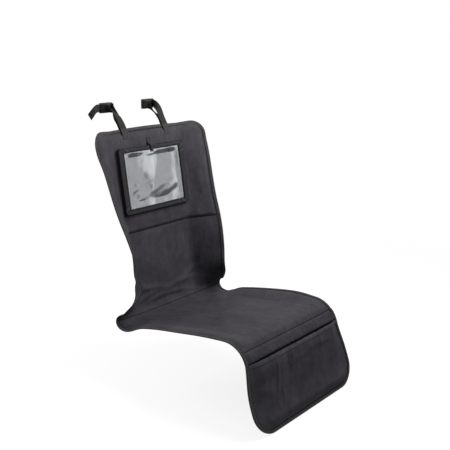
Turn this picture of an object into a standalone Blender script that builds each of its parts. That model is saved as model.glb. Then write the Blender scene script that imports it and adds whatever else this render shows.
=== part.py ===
"""Car seat protector: a padded cover that hangs from two headrest posts by webbing loops.

It lies down the seat back, turns through the seat crease, covers the cushion and hangs over
its front edge. Units are metres, +Z is up, -Y is the seat's forward direction and +X is
across the seat. The origin is on the underside of the seat panel, on its flat middle.

Every sewn piece is drawn on the lying surface, the face that touches the seat:
u runs across the cover, v runs along it from the seat crease (minus up the back, plus
towards the front) and h is the height off the lying surface.
"""

from math import cos, pi, radians, sin

import bpy
import numpy as np

for old in list(bpy.data.objects):
    bpy.data.objects.remove(old)

# How the cover lies on the seat
BACK_LEAN = radians(8.5)
SEAT_RISE = radians(7.5)
FLAP_FLARE = radians(17.8)
CREASE_RADIUS = 0.040
FRONT_RADIUS = 0.073
TOP_ROLL_RADIUS = 0.190
TOP_ROLL_LENGTH = 0.058
WING_FOLD_RADIUS = 0.030

# Lengths along the cover
UPPER_BACK_LENGTH = 0.328
LOWER_BACK_LENGTH = 0.262
SEAT_LENGTH = 0.489
ROLL_OVERLAP = 0.060
FLAP_LENGTH = 0.236
REST_POINT = 0.230

# Widths and corners
BACK_HALF_WIDTH = 0.248
SEAT_NARROWING = 0.008
FRONT_NARROWING = 0.0145
TOP_CORNER = 0.050
FLAP_CORNER = 0.068
TOP_ARCH = 0.010
SEAT_HALF_WIDTH = BACK_HALF_WIDTH - SEAT_NARROWING
FRONT_HALF_WIDTH = SEAT_HALF_WIDTH - FRONT_NARROWING
FLAP_HALF_WIDTH = SEAT_HALF_WIDTH

# Where the sides change shape, measured from the crease or from the ends of the panels
WING_GROWTH = 0.105
WING_STOP = 0.085
SEAT_SETTLE = 0.120
SEAT_WING_START = 0.270
SEAT_WING_STOP = 0.110
FRONT_TAPER = 0.105
FLAP_SPREAD = 0.085

# Wings that lie on the seat's side bolsters
POCKET_FOLD = 0.142
BACK_FOLD = 0.124
CREASE_FOLD = 0.140
SEAT_FOLD = 0.150
TOP_WING = radians(20)
SEAM_WING = radians(48)
STEEP_WING = radians(54)
LOW_WING = radians(57)
CREASE_WING = radians(25)
FLAT_WING = radians(5)
DROOP_WING = radians(-4)
SEAT_WING = radians(12)
POCKET_WING_SHARE = 0.04
MIDDLE_WING_SHARE = 0.46
FOOT_WING_SHARE = 0.95

# Cloth, padding and tape
CLOTH = 0.0008
SHEET = 0.0019
BACK_PAD = 0.0050
SEAT_PAD = 0.0038
PINCH = 0.018
TAPE = 0.0007
TAPE_WRAP = 0.009
TAPE_FOLD = 0.0012
GAP = 0.0003
SEAM_GAP = 0.0008

# Tablet pocket
POCKET_HALF_WIDTH = 0.143
POCKET_HEIGHT = 0.208
POCKET_FOOT = 0.060
POCKET_DEPTH = 0.0105
POCKET_CORNER = 0.004
FRAME_SIDE = 0.022
FRAME_END = 0.016
FRAME_THICKNESS = 0.0016
GUSSET_WALL = 0.0012
FILM = 0.0004
FILM_LAP = 0.008
TAB_WIDTH = 0.018
TAB_LENGTH = 0.024
TAB_SEWN = 0.022
TAB_LIFT = 0.003
TAB_TURN = 0.002
PATCH_THICKNESS = 0.0010
PATCH_HALF_WIDTH = 0.007
PATCH_HALF_HEIGHT = 0.006
PATCH_CORNER = 0.002
PATCH_DROP = 0.009

# Front pocket and hem band
MOUTH_DROP = 0.036
BAND_HEIGHT = 0.022
BAND_THICKNESS = 0.0012
BAND_LIFT = 0.0022
BAND_EASE = 0.040
MOUTH_GAP = 0.005
POCKET_SAG = 0.014
MOUTH_SAG = 0.012
POCKET_EASE = 0.050
POCKET_FOLD_HEIGHT = 0.0022
POCKET_FOLD_DRIFT = 0.020
HEM_HEIGHT = 0.008
HEM_LIP = 0.001
HEM_THICKNESS = 0.0010
SEAM_MARGIN = 0.003

# Headrest straps
STRAP_WIDTH = 0.025
STRAP_THICKNESS = 0.0014
STRAP_OFFSET = 0.091
STRAP_LAP = 0.032
LAP_EDGE = 0.001
LAP_EASE = 0.0004
POST_BACK = 0.056
POST_RISE = 0.062
LOOP_REACH = 0.024
RETURN_DROP = 0.015
RETURN_BACK = 0.0035
BUCKLE_BEHIND = 0.018
BAR_LEAD = 0.006
TAIL_LENGTH = 0.078
TAIL_DROP = 0.036

# Buckles
BAR_RADIUS = 0.0015
BUCKLE_HEIGHT = 0.032
BUCKLE_THICKNESS = 0.009
SOCKET_LENGTH = 0.025
BUCKLE_WALL = 0.002
HOLLOW_FLOOR = 0.003
BODY_SETBACK = 0.0025
ARM_ROOT = 0.002
BAR_SINK = 0.0005
WINDOW_START = 0.007
WINDOW_LENGTH = 0.009
PRONG_GAP = 0.0006
PRONG_HEIGHT = 0.006
PRONG_REACH = 0.004
MIDDLE_PRONG = 0.004
SOCKET_SOFTNESS = 0.0007
PLUG_SOFTNESS = 0.0005
CUT_PAST = 0.010

# Stations along the cover, worked out from the lengths
CREASE_TURN = pi / 2 - BACK_LEAN + SEAT_RISE
V_SEAM = -LOWER_BACK_LENGTH
V_TOP = V_SEAM - UPPER_BACK_LENGTH
V_FRONT = SEAT_LENGTH
V_ROLL = V_FRONT - ROLL_OVERLAP
V_MOUTH = V_FRONT + MOUTH_DROP
V_FOOT = V_FRONT + FLAP_LENGTH
V_POCKET_FOOT = V_SEAM - POCKET_FOOT
V_POCKET_HEAD = V_POCKET_FOOT - POCKET_HEIGHT
HALF_CREASE = CREASE_RADIUS * CREASE_TURN / 2


def hermite(x, knots, values):
    """Smooth curve through (knots, values), its slope at a knot taken from the knots beside it."""
    knots = np.asarray(knots, float)
    values = np.asarray(values, float)
    slopes = np.gradient(values, knots)
    x = np.clip(x, knots[0], knots[-1])
    i = np.clip(np.searchsorted(knots, x, side="right") - 1, 0, len(knots) - 2)
    span = knots[i + 1] - knots[i]
    t = (x - knots[i]) / span
    rise = values[i + 1] - values[i]
    cubic = (3 - 2 * t) * t * t * rise
    ends = t * (1 - t) * span * ((1 - t) * slopes[i] - t * slopes[i + 1])
    return values[i] + cubic + ends


def smoothstep(t):
    """0 below 0, 1 above 1, and 3t^2 - 2t^3 between."""
    t = np.clip(t, 0, 1)
    return t * t * (3 - 2 * t)


# The lying surface: a spine of straights and arcs, bent up into a wing along each side
def spine_segments():
    """(start v, forward, up, direction, curvature) of each stretch, from the top edge to the foot."""
    lengths = [
        (TOP_ROLL_LENGTH, -1 / TOP_ROLL_RADIUS),
        (-HALF_CREASE - V_TOP - TOP_ROLL_LENGTH, 0),
        (2 * HALF_CREASE, 1 / CREASE_RADIUS),
        (V_ROLL - HALF_CREASE, 0),
        (FRONT_RADIUS * (SEAT_RISE + pi / 2 - FLAP_FLARE), -1 / FRONT_RADIUS),
        (1.0, 0),
    ]
    v, forward, up = V_TOP, 0.0, 0.0
    direction = BACK_LEAN - pi / 2 + TOP_ROLL_LENGTH / TOP_ROLL_RADIUS
    found = []
    for length, curvature in lengths:
        found.append((v, forward, up, direction, curvature))
        turned = direction + curvature * length
        if curvature:
            forward += (sin(turned) - sin(direction)) / curvature
            up += (cos(direction) - cos(turned)) / curvature
        else:
            forward += length * cos(direction)
            up += length * sin(direction)
        v += length
        direction = turned
    return np.array(found)


SEGMENTS = spine_segments()


def spine(v):
    """Forward and up distances and the direction of travel at v, before the origin is set."""
    v = np.asarray(v, float)
    at = np.clip(np.searchsorted(SEGMENTS[:, 0], v, side="right") - 1, 0, len(SEGMENTS) - 1)
    start, forward, up, direction, curvature = np.moveaxis(SEGMENTS[at], -1, 0)
    run = v - start
    turned = direction + curvature * run
    bend = np.where(curvature == 0, 1, curvature)
    along = np.where(curvature == 0, run * np.cos(direction), (np.sin(turned) - np.sin(direction)) / bend)
    rise = np.where(curvature == 0, run * np.sin(direction), (np.cos(direction) - np.cos(turned)) / bend)
    return forward + along, up + rise, turned


REST_FORWARD, REST_UP, _ = spine(REST_POINT)


def fold_line(v):
    """Distance of the wing's fold from the centre line."""
    knots = [V_TOP, V_POCKET_FOOT, V_SEAM, -WING_STOP, 0.0, SEAT_SETTLE, V_FOOT]
    values = [POCKET_FOLD, POCKET_FOLD, BACK_FOLD, BACK_FOLD, CREASE_FOLD, SEAT_FOLD, SEAT_FOLD]
    return hermite(v, knots, values)


def wing_angle(v):
    """Angle by which the wing turns up off the flat middle."""
    quarter = (V_SEAM - V_POCKET_HEAD) / 4
    growth = SEAM_WING - TOP_WING
    knots = [V_TOP, V_POCKET_HEAD, V_POCKET_HEAD + quarter, V_SEAM - quarter, V_SEAM,
             V_SEAM + WING_GROWTH, -WING_STOP, -HALF_CREASE, 0.0, HALF_CREASE, SEAT_SETTLE,
             SEAT_WING_START, V_FRONT - SEAT_WING_STOP, (V_ROLL + V_FRONT) / 2, V_MOUTH, V_FOOT]
    values = [TOP_WING, TOP_WING + POCKET_WING_SHARE * growth, TOP_WING + MIDDLE_WING_SHARE * growth,
              TOP_WING + FOOT_WING_SHARE * growth, SEAM_WING, STEEP_WING, LOW_WING, CREASE_WING,
              FLAT_WING, DROOP_WING, SEAT_WING / 2, SEAT_WING, SEAT_WING, SEAT_WING / 2, 0.0, 0.0]
    return hermite(v, knots, values)


def side_width(v):
    """Half width of the cover, before its corners are rounded."""
    taper = (V_ROLL + V_FRONT) / 2
    knots = [V_TOP, -WING_STOP, 0.0, SEAT_SETTLE, taper - FRONT_TAPER, taper, V_MOUTH,
             V_MOUTH + FLAP_SPREAD, V_FOOT]
    values = [BACK_HALF_WIDTH, BACK_HALF_WIDTH, (BACK_HALF_WIDTH + SEAT_HALF_WIDTH) / 2,
              SEAT_HALF_WIDTH, SEAT_HALF_WIDTH, FRONT_HALF_WIDTH, FRONT_HALF_WIDTH,
              FLAP_HALF_WIDTH, FLAP_HALF_WIDTH]
    return hermite(v, knots, values)


def outline(v, inset=0.0):
    """Half width at v with the top and bottom corners rounded, moved in by inset."""
    top = TOP_CORNER - inset
    foot = FLAP_CORNER - inset
    from_top = np.clip(v - (V_TOP + inset), 0, top)
    from_foot = np.clip(V_FOOT - inset - v, 0, foot)
    cut_top = top - np.sqrt(np.maximum(top**2 - (top - from_top) ** 2, 0))
    cut_foot = foot - np.sqrt(np.maximum(foot**2 - (foot - from_foot) ** 2, 0))
    return side_width(v) - inset - cut_top - cut_foot


def lying_surface(u, v):
    """Points of the lying surface, for arrays u and v.

    Across the cover the section is flat out to the fold line, turns through an arc of
    WING_FOLD_RADIUS by the wing's angle, and runs on straight to the edge.
    """
    forward, up, direction = spine(v)
    fold = fold_line(v)
    wing = wing_angle(v)
    turn = np.clip((np.abs(u) - fold) / WING_FOLD_RADIUS, 0, np.abs(wing)) * np.sign(wing)
    flank = np.maximum(np.abs(u) - fold - WING_FOLD_RADIUS * np.abs(wing), 0)
    side = np.minimum(np.abs(u), fold) + WING_FOLD_RADIUS * np.sin(np.abs(turn)) + flank * np.cos(wing)
    lift = WING_FOLD_RADIUS * (1 - np.cos(turn)) * np.sign(wing) + flank * np.sin(wing)
    forward = forward - REST_FORWARD - lift * np.sin(direction)
    up = up - REST_UP + lift * np.cos(direction)
    return np.stack([np.copysign(side, u), -forward, up], axis=-1)


def surface(u, v, h):
    """Points at height h over the lying surface, measured along its normal."""
    u, v, h = np.broadcast_arrays(u, v, h)
    step = 1e-5
    across = lying_surface(u + step, v) - lying_surface(u - step, v)
    along = lying_surface(u, v + step) - lying_surface(u, v - step)
    normal = np.cross(along, across)
    normal /= np.linalg.norm(normal, axis=-1, keepdims=True)
    return lying_surface(u, v) + normal * h[..., None]


def edge_distance(u, v):
    """Distance from (u, v) to the cover's outline, round its top corners."""
    beside = side_width(v) - np.abs(u)
    below = v - V_TOP
    in_corner = (beside < TOP_CORNER) & (below < TOP_CORNER)
    round_corner = TOP_CORNER - np.hypot(TOP_CORNER - beside, TOP_CORNER - below)
    return np.where(in_corner, round_corner, np.minimum(beside, below))


def pad_rise(u, v):
    """How far the padding lifts the face: full in the field, none at an edge or a seam."""
    inside = edge_distance(u, v) - TAPE_WRAP
    back = BACK_PAD * smoothstep(np.minimum(inside, V_SEAM - v) / PINCH)
    seat = SEAT_PAD * smoothstep(np.minimum(np.minimum(inside, v), V_FRONT - v) / PINCH)
    return np.where(v < V_SEAM, back, np.where(v > 0, seat, 0.0))


# Objects, collections and materials
def collection(name):
    made = bpy.data.collections.new(name)
    bpy.context.scene.collection.children.link(made)
    return made


PARTS = collection("car_seat_protector")
CUTTERS = collection("cutters")


def material(name, colour, roughness, metallic=0.0, alpha=1.0):
    made = bpy.data.materials.new(name)
    made.use_nodes = True
    shader = made.node_tree.nodes["Principled BSDF"]
    shader.inputs["Base Color"].default_value = (*colour, 1)
    shader.inputs["Roughness"].default_value = roughness
    shader.inputs["Metallic"].default_value = metallic
    shader.inputs["Alpha"].default_value = alpha
    return made


BLACK_CLOTH = material("black_polyester", (0.020, 0.020, 0.023), 0.85)
BACKING_CLOTH = material("grip_backing", (0.030, 0.030, 0.032), 0.75)
FOAM = material("foam", (0.20, 0.20, 0.20), 0.95)
BLACK_TAPE = material("binding_tape", (0.026, 0.026, 0.028), 0.75)
BLACK_WEBBING = material("webbing", (0.030, 0.029, 0.027), 0.80)
CLEAR_FILM = material("clear_film", (0.80, 0.82, 0.84), 0.08, alpha=0.3)
HOOK_TAPE = material("hook_tape", (0.022, 0.022, 0.022), 0.95)
BLACK_PLASTIC = material("buckle_plastic", (0.018, 0.018, 0.019), 0.40)


def split_quads(quads, u, v):
    """Each quad as two triangles, cut from the corner low in v and |u| to the one high in both.

    Layers that lie on each other are all cut the same way, so their twisted quads don't cross.
    """
    u, v = np.abs(u).ravel(), v.ravel()
    first = (v[quads[:, 2]] - v[quads[:, 0]]) * (u[quads[:, 2]] - u[quads[:, 0]]) > 0
    a, b, c, d = np.where(first[:, None], quads, np.roll(quads, -1, axis=1)).T
    return np.vstack([np.stack([a, b, c], axis=-1), np.stack([a, c, d], axis=-1)])


def grid_object(name, points, finish, u=None, v=None):
    """An object whose open surface joins the rows and columns of points."""
    rows, columns = points.shape[:2]
    index = np.arange(rows * columns).reshape(rows, columns)
    faces = np.stack([index[:-1, :-1], index[1:, :-1], index[1:, 1:], index[:-1, 1:]], axis=-1)
    faces = faces.reshape(-1, 4)
    if u is not None:
        faces = split_quads(faces, u, v)
    mesh = bpy.data.meshes.new(name)
    mesh.from_pydata(points.reshape(-1, 3).tolist(), [], faces.tolist())
    mesh.shade_smooth()
    mesh.materials.append(finish)
    made = bpy.data.objects.new(name, mesh)
    PARTS.objects.link(made)
    return made


def thicken(made, thickness, offset=0.0):
    """Gives an open surface its wall; offset 0 is centred, 1 grows along the normals."""
    wall = made.modifiers.new("wall", "SOLIDIFY")
    wall.thickness = thickness
    wall.offset = offset
    made.data.set_sharp_from_angle(angle=radians(50))
    return made


# Across each row: the flat middle, the fold's arc, and the straight flank to the edge
MIDDLE_SHARES = [0.0, 0.5, 1.0]
FOLD_SHARES = [0.5, 1.0]
LEAST_TURN = radians(8)
EDGE_INSETS = [TAPE_WRAP + PINCH, TAPE_WRAP + PINCH / 2, TAPE_WRAP, 0.0]
FLANK_LEAST = 0.045


def cloth_grid(rows):
    """u and v of a panel's grid points, with columns on the fold lines and beside the tape."""
    rows = np.asarray(rows, float)
    edge = outline(rows)[:, None]
    fold = np.minimum(fold_line(rows)[:, None], edge - FLANK_LEAST)
    arc = (WING_FOLD_RADIUS * np.maximum(np.abs(wing_angle(rows)), LEAST_TURN))[:, None]
    half = np.hstack([
        fold * np.array(MIDDLE_SHARES),
        fold + arc * np.array(FOLD_SHARES),
        edge - np.array(EDGE_INSETS),
    ])
    u = np.hstack([-half[:, :0:-1], half])
    fade = np.clip(1 - (rows[:, None] - V_TOP) / TOP_CORNER, 0, 1)
    v = rows[:, None] + TOP_ARCH * (u / BACK_HALF_WIDTH) ** 2 * fade
    return u, v


def corner_rows(start, radius, step, count):
    """Rows that crowd towards an edge, so that a rounded corner comes out round."""
    turns = np.linspace(0, pi / 2, count)
    return start + step * radius * (1 - np.cos(turns))


UPPER_MIDDLE_ROWS = [
    (V_TOP + TOP_CORNER + V_POCKET_HEAD) / 2,
    *np.linspace(V_POCKET_HEAD, V_POCKET_FOOT, 4),
    V_SEAM - PINCH,
]
UPPER_ROWS = np.concatenate([
    V_TOP + np.array([0, TOP_CORNER / 20, TAPE_WRAP, TAPE_WRAP + PINCH / 2, TAPE_WRAP + PINCH, TOP_CORNER * 0.76]),
    UPPER_MIDDLE_ROWS,
    [V_SEAM - SEAM_GAP / 2],
])
LOWER_ROWS = np.concatenate([
    [V_SEAM + SEAM_GAP / 2],
    np.linspace(V_SEAM, -WING_STOP, 4)[1:-1],
    -WING_STOP * np.array([1.0, 0.78, 0.58, 0.42, 0.31, 0.21, 0.12]),
    [-SEAM_GAP / 2],
])
SEAT_ROWS = np.concatenate([
    [SEAM_GAP / 2, PINCH / 2, PINCH, HALF_CREASE],
    SEAT_LENGTH * np.array([0.125, 0.23, 0.375, 0.56, 0.74]),
    [V_ROLL, (V_ROLL + V_FRONT - PINCH) / 2, V_FRONT - PINCH, V_FRONT - PINCH / 2, V_FRONT - SEAM_GAP / 2],
])
FLAP_ROWS = np.concatenate([
    [V_FRONT + SEAM_GAP / 2],
    np.linspace(V_FRONT, V_MOUTH, 4)[1:],
    [V_MOUTH + FLAP_SPREAD / 2, V_MOUTH + FLAP_SPREAD],
    corner_rows(V_FOOT, FLAP_CORNER, -1, 7)[::-1],
])


def sheet(name, rows, thickness, finish):
    """A plain sheet on the lying surface."""
    u, v = cloth_grid(rows)
    return thicken(grid_object(name, surface(u, v, thickness / 2), finish, u, v), thickness)


def padded_face(name, rows):
    """The face cloth of a padded panel, crowned by the pad and pinched at its edges."""
    u, v = cloth_grid(rows)
    height = CLOTH + GAP + pad_rise(u, v) + CLOTH / 2
    made = grid_object(name, surface(u, v, height), BLACK_CLOTH, u, v)
    return thicken(made, CLOTH)


def pad(name, rows, ends, depth):
    """The foam between backing and face: as thick as the pad at each point, less a gap.

    It is cut back from the edges to where the pad has half its depth, and from the ends by
    the given numbers of rows.
    """
    u, v = cloth_grid(rows)
    u, v = (part[ends[0]:-ends[1], 2:-2] for part in (u, v))
    made = grid_object(name, surface(u, v, CLOTH + GAP), FOAM, u, v)
    share = (pad_rise(u, v) - GAP) / depth
    group = made.vertex_groups.new(name="depth")
    for index, weight in enumerate(share.ravel()):
        group.add([index], float(weight), "REPLACE")
    thicken(made, depth, 1.0)
    made.modifiers["wall"].vertex_group = group.name
    return made


padded_face("upper_back_face", UPPER_ROWS)
pad("upper_back_foam", UPPER_ROWS, (3, 1), BACK_PAD)
sheet("upper_back_lining", UPPER_ROWS, CLOTH, BACKING_CLOTH)
sheet("lower_back_panel", LOWER_ROWS, SHEET, BLACK_CLOTH)
padded_face("seat_face", SEAT_ROWS)
pad("seat_foam", SEAT_ROWS, (1, 1), SEAT_PAD)
sheet("seat_grip_backing", SEAT_ROWS, CLOTH, BACKING_CLOTH)
sheet("front_flap", FLAP_ROWS, SHEET, BLACK_CLOTH)


# Binding: a tape folded over the raw edge, both legs lying on the cloth
def tape_object(name, u, v, stack):
    """A U-shaped tape along the edge path (u, v), over cloth that is stack(u, v) thick."""
    legs = np.diff(np.stack([u, v], axis=-1), axis=0)
    legs /= np.linalg.norm(legs, axis=-1, keepdims=True)
    along = np.vstack([legs[:1], legs[:-1] + legs[1:], legs[-1:]])
    along /= np.linalg.norm(along, axis=-1, keepdims=True)
    out_u = -along[:, 1:2]
    out_v = along[:, 0:1]
    inward = np.array([TAPE_WRAP, 0, -TAPE_FOLD, -TAPE_FOLD, 0, TAPE_WRAP])
    at_u = u[:, None] - out_u * inward
    at_v = v[:, None] - out_v * inward
    top = stack(at_u, at_v) + GAP + TAPE / 2
    bottom = np.full_like(top, -GAP - TAPE / 2)
    height = np.where(np.arange(len(inward)) < 3, bottom, top)
    height[:, 2] += TAPE_FOLD / 2
    height[:, 3] -= TAPE_FOLD / 2
    made = grid_object(name, surface(at_u, at_v, height), BLACK_TAPE, at_u, at_v)
    return thicken(made, TAPE)


def padded_stack(u, v):
    return SHEET + pad_rise(u, v)


def pocket_stack(u, v):
    return np.full_like(u, SHEET + GAP + BAND_THICKNESS)


def edge_path(rows, first, last):
    """The right-hand edge down the given rows, from station first to last."""
    v = rows[(rows > first - 1e-6) & (rows < last + 1e-6)]
    return outline(v), v


def ring_path(rows, side):
    """Up one side of a panel, across its rounded end and down the other side."""
    u, v = cloth_grid(rows)
    end = 0 if side == "top" else -1
    order = slice(None, None, -1) if side == "top" else slice(None)
    across = slice(-2, 0, -1)
    path_u = np.concatenate([u[order, -1], u[end, across], u[order, 0][::-1]])
    path_v = np.concatenate([v[order, -1], v[end, across], v[order, 0][::-1]])
    return path_u, path_v


top_u, top_v = ring_path(UPPER_ROWS, "top")
tape_object("upper_back_binding", top_u, top_v, padded_stack)
foot_u, foot_v = ring_path(FLAP_ROWS, "foot")
tape_object("flap_binding", foot_u[::-1], foot_v[::-1], pocket_stack)
SIDE_ROWS = np.concatenate([LOWER_ROWS[:-1], [0.0], SEAT_ROWS[1:]])
side_u, side_v = edge_path(SIDE_ROWS, V_SEAM, V_FRONT)
tape_object("side_binding_right", side_u[::-1], side_v[::-1], padded_stack)
tape_object("side_binding_left", -side_u, side_v, padded_stack)


# Front pocket: hem band over the mouth, the soft pocket sheet and its turned hem. Each fold is
# its place across the mouth, its width and its strength.
POCKET_FOLDS = [(-0.115, 0.018, 0.9), (-0.065, 0.014, -0.6), (-0.020, 0.020, 0.8), (0.110, 0.016, 1.0)]
POCKET_SHARES = [0, 0.09, 0.19, 0.29, 0.40, 0.51, 0.63, 0.78, 0.955, 1.0]


def pocket_height(u, v):
    """Height of the pocket sheet: a belly that the side and foot seams hold down, and soft folds."""
    inside = np.minimum(outline(v) - np.abs(u), V_FOOT - v) - TAPE_WRAP - SEAM_MARGIN
    held = smoothstep(inside / POCKET_EASE)
    down = (v - V_MOUTH) / (V_FOOT - V_MOUTH)
    sag = MOUTH_SAG + (POCKET_SAG - MOUTH_SAG) * np.sin(pi * np.clip(down, 0, 1)) ** 0.8
    drift = POCKET_FOLD_DRIFT * down
    folds = sum(size * np.exp(-(((u - at - drift) / width) ** 2)) for at, width, size in POCKET_FOLDS)
    ripple = POCKET_FOLD_HEIGHT * folds * (1 - 0.8 * down)
    return SHEET + GAP + CLOTH / 2 + held * (sag + ripple)


def pocket_grid(rows):
    """u and v of the pocket's points, evenly spread across it so that its folds show."""
    half = np.array(POCKET_SHARES)
    shares = np.concatenate([-half[:0:-1], half])
    rows = np.asarray(rows, float)
    edge = outline(rows)[:, None]
    return edge * shares, np.repeat(rows[:, None], len(shares), axis=1)


POCKET_ROWS = [V_MOUTH, V_MOUTH + HEM_HEIGHT, *FLAP_ROWS[4:]]
pocket_u, pocket_v = pocket_grid(POCKET_ROWS)
pocket_points = surface(pocket_u, pocket_v, pocket_height(pocket_u, pocket_v))
thicken(grid_object("front_pocket", pocket_points, BLACK_CLOTH, pocket_u, pocket_v), CLOTH)

hem_u, hem_v = pocket_grid([V_MOUTH - HEM_LIP, V_MOUTH, V_MOUTH + HEM_HEIGHT])
hem_u, hem_v = hem_u[:, 1:-1], hem_v[:, 1:-1]
hem_height = pocket_height(hem_u, hem_v) + CLOTH / 2 + GAP + HEM_THICKNESS / 2
hem = grid_object("front_pocket_hem", surface(hem_u, hem_v, hem_height), BLACK_CLOTH, hem_u, hem_v)
thicken(hem, HEM_THICKNESS)

band_top = V_MOUTH - MOUTH_GAP - BAND_HEIGHT
band_u, band_v = pocket_grid(np.linspace(band_top, V_MOUTH - MOUTH_GAP, 4))
band_lift = BAND_LIFT * smoothstep((band_v - band_top) / BAND_HEIGHT)
band_lift = band_lift * smoothstep((outline(band_v) - np.abs(band_u) - TAPE_WRAP) / BAND_EASE)
band_height = SHEET + GAP + BAND_THICKNESS / 2 + band_lift
band = grid_object("front_hem_band", surface(band_u, band_v, band_height), BLACK_CLOTH, band_u, band_v)
thicken(band, BAND_THICKNESS)


# Tablet pocket: a stiff border with a clear window, held off the panel by a gusset
FACE_HEIGHT = SHEET + BACK_PAD
BACK_TILT = pi / 2 - BACK_LEAN


def on_back(made, height):
    """Places a piece drawn in its own XY plane on the seat back, height off the lying surface."""
    made.rotation_euler = (BACK_TILT, 0, 0)
    made.location = surface(0.0, V_POCKET_FOOT - POCKET_HEIGHT / 2, height)
    return made


def rounded_outline(half_width, half_height, radius, steps=3):
    """Corner points of a rounded rectangle, anticlockwise, steps + 1 to a corner."""
    points = []
    for quarter in range(4):
        middle_x = (half_width - radius) * (1 if quarter in (0, 3) else -1)
        middle_y = (half_height - radius) * (1 if quarter < 2 else -1)
        for turn in np.linspace(0, pi / 2, steps + 1) + quarter * pi / 2:
            points.append((middle_x + radius * cos(turn), middle_y + radius * sin(turn), 0.0))
    return points


def flat_object(name, outlines, thickness, finish):
    """A flat sheet from closed outlines, the inner ones being holes, made a mesh."""
    curve = bpy.data.curves.new(name, "CURVE")
    curve.dimensions = "2D"
    curve.fill_mode = "BOTH"
    curve.extrude = thickness / 2
    for points in outlines:
        spline = curve.splines.new("POLY")
        spline.points.add(len(points) - 1)
        spline.points.foreach_set("co", [value for point in points for value in (*point, 1.0)])
        spline.use_cyclic_u = True
    curve.materials.append(finish)
    made = bpy.data.objects.new(name, curve)
    PARTS.objects.link(made)
    return made


FRAME_HEIGHT = FACE_HEIGHT + POCKET_DEPTH + FRAME_THICKNESS / 2
outer = rounded_outline(POCKET_HALF_WIDTH, POCKET_HEIGHT / 2, POCKET_CORNER)
inner = rounded_outline(POCKET_HALF_WIDTH - FRAME_SIDE, POCKET_HEIGHT / 2 - FRAME_END, POCKET_CORNER)
on_back(flat_object("tablet_pocket_frame", [outer, inner], FRAME_THICKNESS, BLACK_CLOTH), FRAME_HEIGHT)

film_width = POCKET_HALF_WIDTH - FRAME_SIDE + FILM_LAP
film_height = POCKET_HEIGHT / 2 - FRAME_END + FILM_LAP
film = flat_object("tablet_window", [rounded_outline(film_width, film_height, POCKET_CORNER)], FILM, CLEAR_FILM)
on_back(film, FRAME_HEIGHT - FRAME_THICKNESS / 2 - GAP - FILM / 2)


def gusset():
    """The pocket's wall: down one side, along the foot and up the other, open at the head."""
    wall_x = POCKET_HALF_WIDTH - GUSSET_WALL / 2
    wall_y = POCKET_HEIGHT / 2 - GUSSET_WALL / 2
    ring = rounded_outline(wall_x, wall_y, POCKET_CORNER)
    foot_corners = ring[len(ring) // 2:]
    path = [(-wall_x, POCKET_HEIGHT / 2, 0.0), *foot_corners, (wall_x, POCKET_HEIGHT / 2, 0.0)]
    low = FACE_HEIGHT + GAP
    high = FRAME_HEIGHT - FRAME_THICKNESS / 2 - GAP
    rows = [[(x, y, z) for x, y, _ in path] for z in (high, low)]
    made = thicken(grid_object("tablet_pocket_gusset", np.array(rows), BLACK_CLOTH), GUSSET_WALL)
    return on_back(made, 0.0)


gusset()


# Webbing and tabs: a flat ribbon along a smooth path, with its width along a given direction
def smooth_path(points, between):
    """Points on a curve through the given points, with so many steps between each pair."""
    points = np.asarray(points, float)
    knots = np.concatenate([[0], np.cumsum(np.linalg.norm(np.diff(points[:, :3], axis=0), axis=1))])
    steps = [np.linspace(a, b, between, endpoint=False) for a, b in zip(knots[:-1], knots[1:])]
    at = np.concatenate([*steps, [knots[-1]]])
    return np.stack([hermite(at, knots, points[:, i]) for i in range(points.shape[1])], axis=-1)


def ribbon(name, centres, widths, width, thickness, finish, taper=None):
    """A ribbon about the centre line, its edges half a width out along the width directions."""
    widths = widths / np.linalg.norm(widths, axis=1, keepdims=True)
    half = np.full(len(centres), width / 2) if taper is None else taper * width / 2
    sides = [centres + widths * (half * side)[:, None] for side in (-1, 0, 1)]
    return thicken(grid_object(name, np.stack(sides, axis=1), finish), thickness)


def tab_path():
    """The closing tab: sewn above the pocket, over its head and down on the patch."""
    head = V_POCKET_HEAD
    front = FRAME_HEIGHT + FRAME_THICKNESS / 2 + GAP * 2 + PATCH_THICKNESS + CLOTH
    sewn = FACE_HEIGHT + GAP + CLOTH
    route = [(head - TAB_SEWN, sewn), (head - TAB_SEWN * 2 / 3, sewn), (head - TAB_TURN * 3, sewn + TAB_LIFT),
             (head - TAB_TURN, (sewn + front) / 2 + TAB_TURN), (head + TAB_TURN / 2, front + TAB_TURN / 2),
             (head + TAB_LENGTH / 3, front), (head + TAB_LENGTH, front)]
    along = smooth_path(route, 3)
    return surface(0.0, along[:, 0], along[:, 1])


tab_line = tab_path()
tab_taper = np.clip(np.linspace(3.2, 0.25, len(tab_line)), 0, 1)
across_x = np.tile([1.0, 0, 0], (len(tab_line), 1))
ribbon("pocket_tab", tab_line, across_x, TAB_WIDTH, 2 * CLOTH, BLACK_CLOTH, tab_taper)

patch_outline = rounded_outline(PATCH_HALF_WIDTH, PATCH_HALF_HEIGHT, PATCH_CORNER, 2)
patch = flat_object("tab_patch", [patch_outline], PATCH_THICKNESS, HOOK_TAPE)
patch_drop = POCKET_HEIGHT / 2 - PATCH_DROP
on_back(patch, FRAME_HEIGHT + FRAME_THICKNESS / 2 + GAP + PATCH_THICKNESS / 2)
patch.location.y += patch_drop * sin(BACK_LEAN)
patch.location.z += patch_drop * cos(BACK_LEAN)


# Headrest loops: two webbing legs from the top edge, closed by a buckle behind the post
def strap_frame(side):
    """The point on the top edge that a strap springs from, and a map from its own directions.

    The strap's own directions are outward from the seat's middle, back and up.
    """
    foot = surface(side * STRAP_OFFSET, V_TOP, 0.0)

    def place(points):
        points = np.asarray(points, float)
        return foot + points[:, :3] * [side, 1, 1]

    return place


HALF_STRAP = STRAP_THICKNESS / 2
BAR_WRAP = BAR_RADIUS + GAP + HALF_STRAP
BUCKLE_BACK = POST_BACK + BUCKLE_BEHIND


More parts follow.
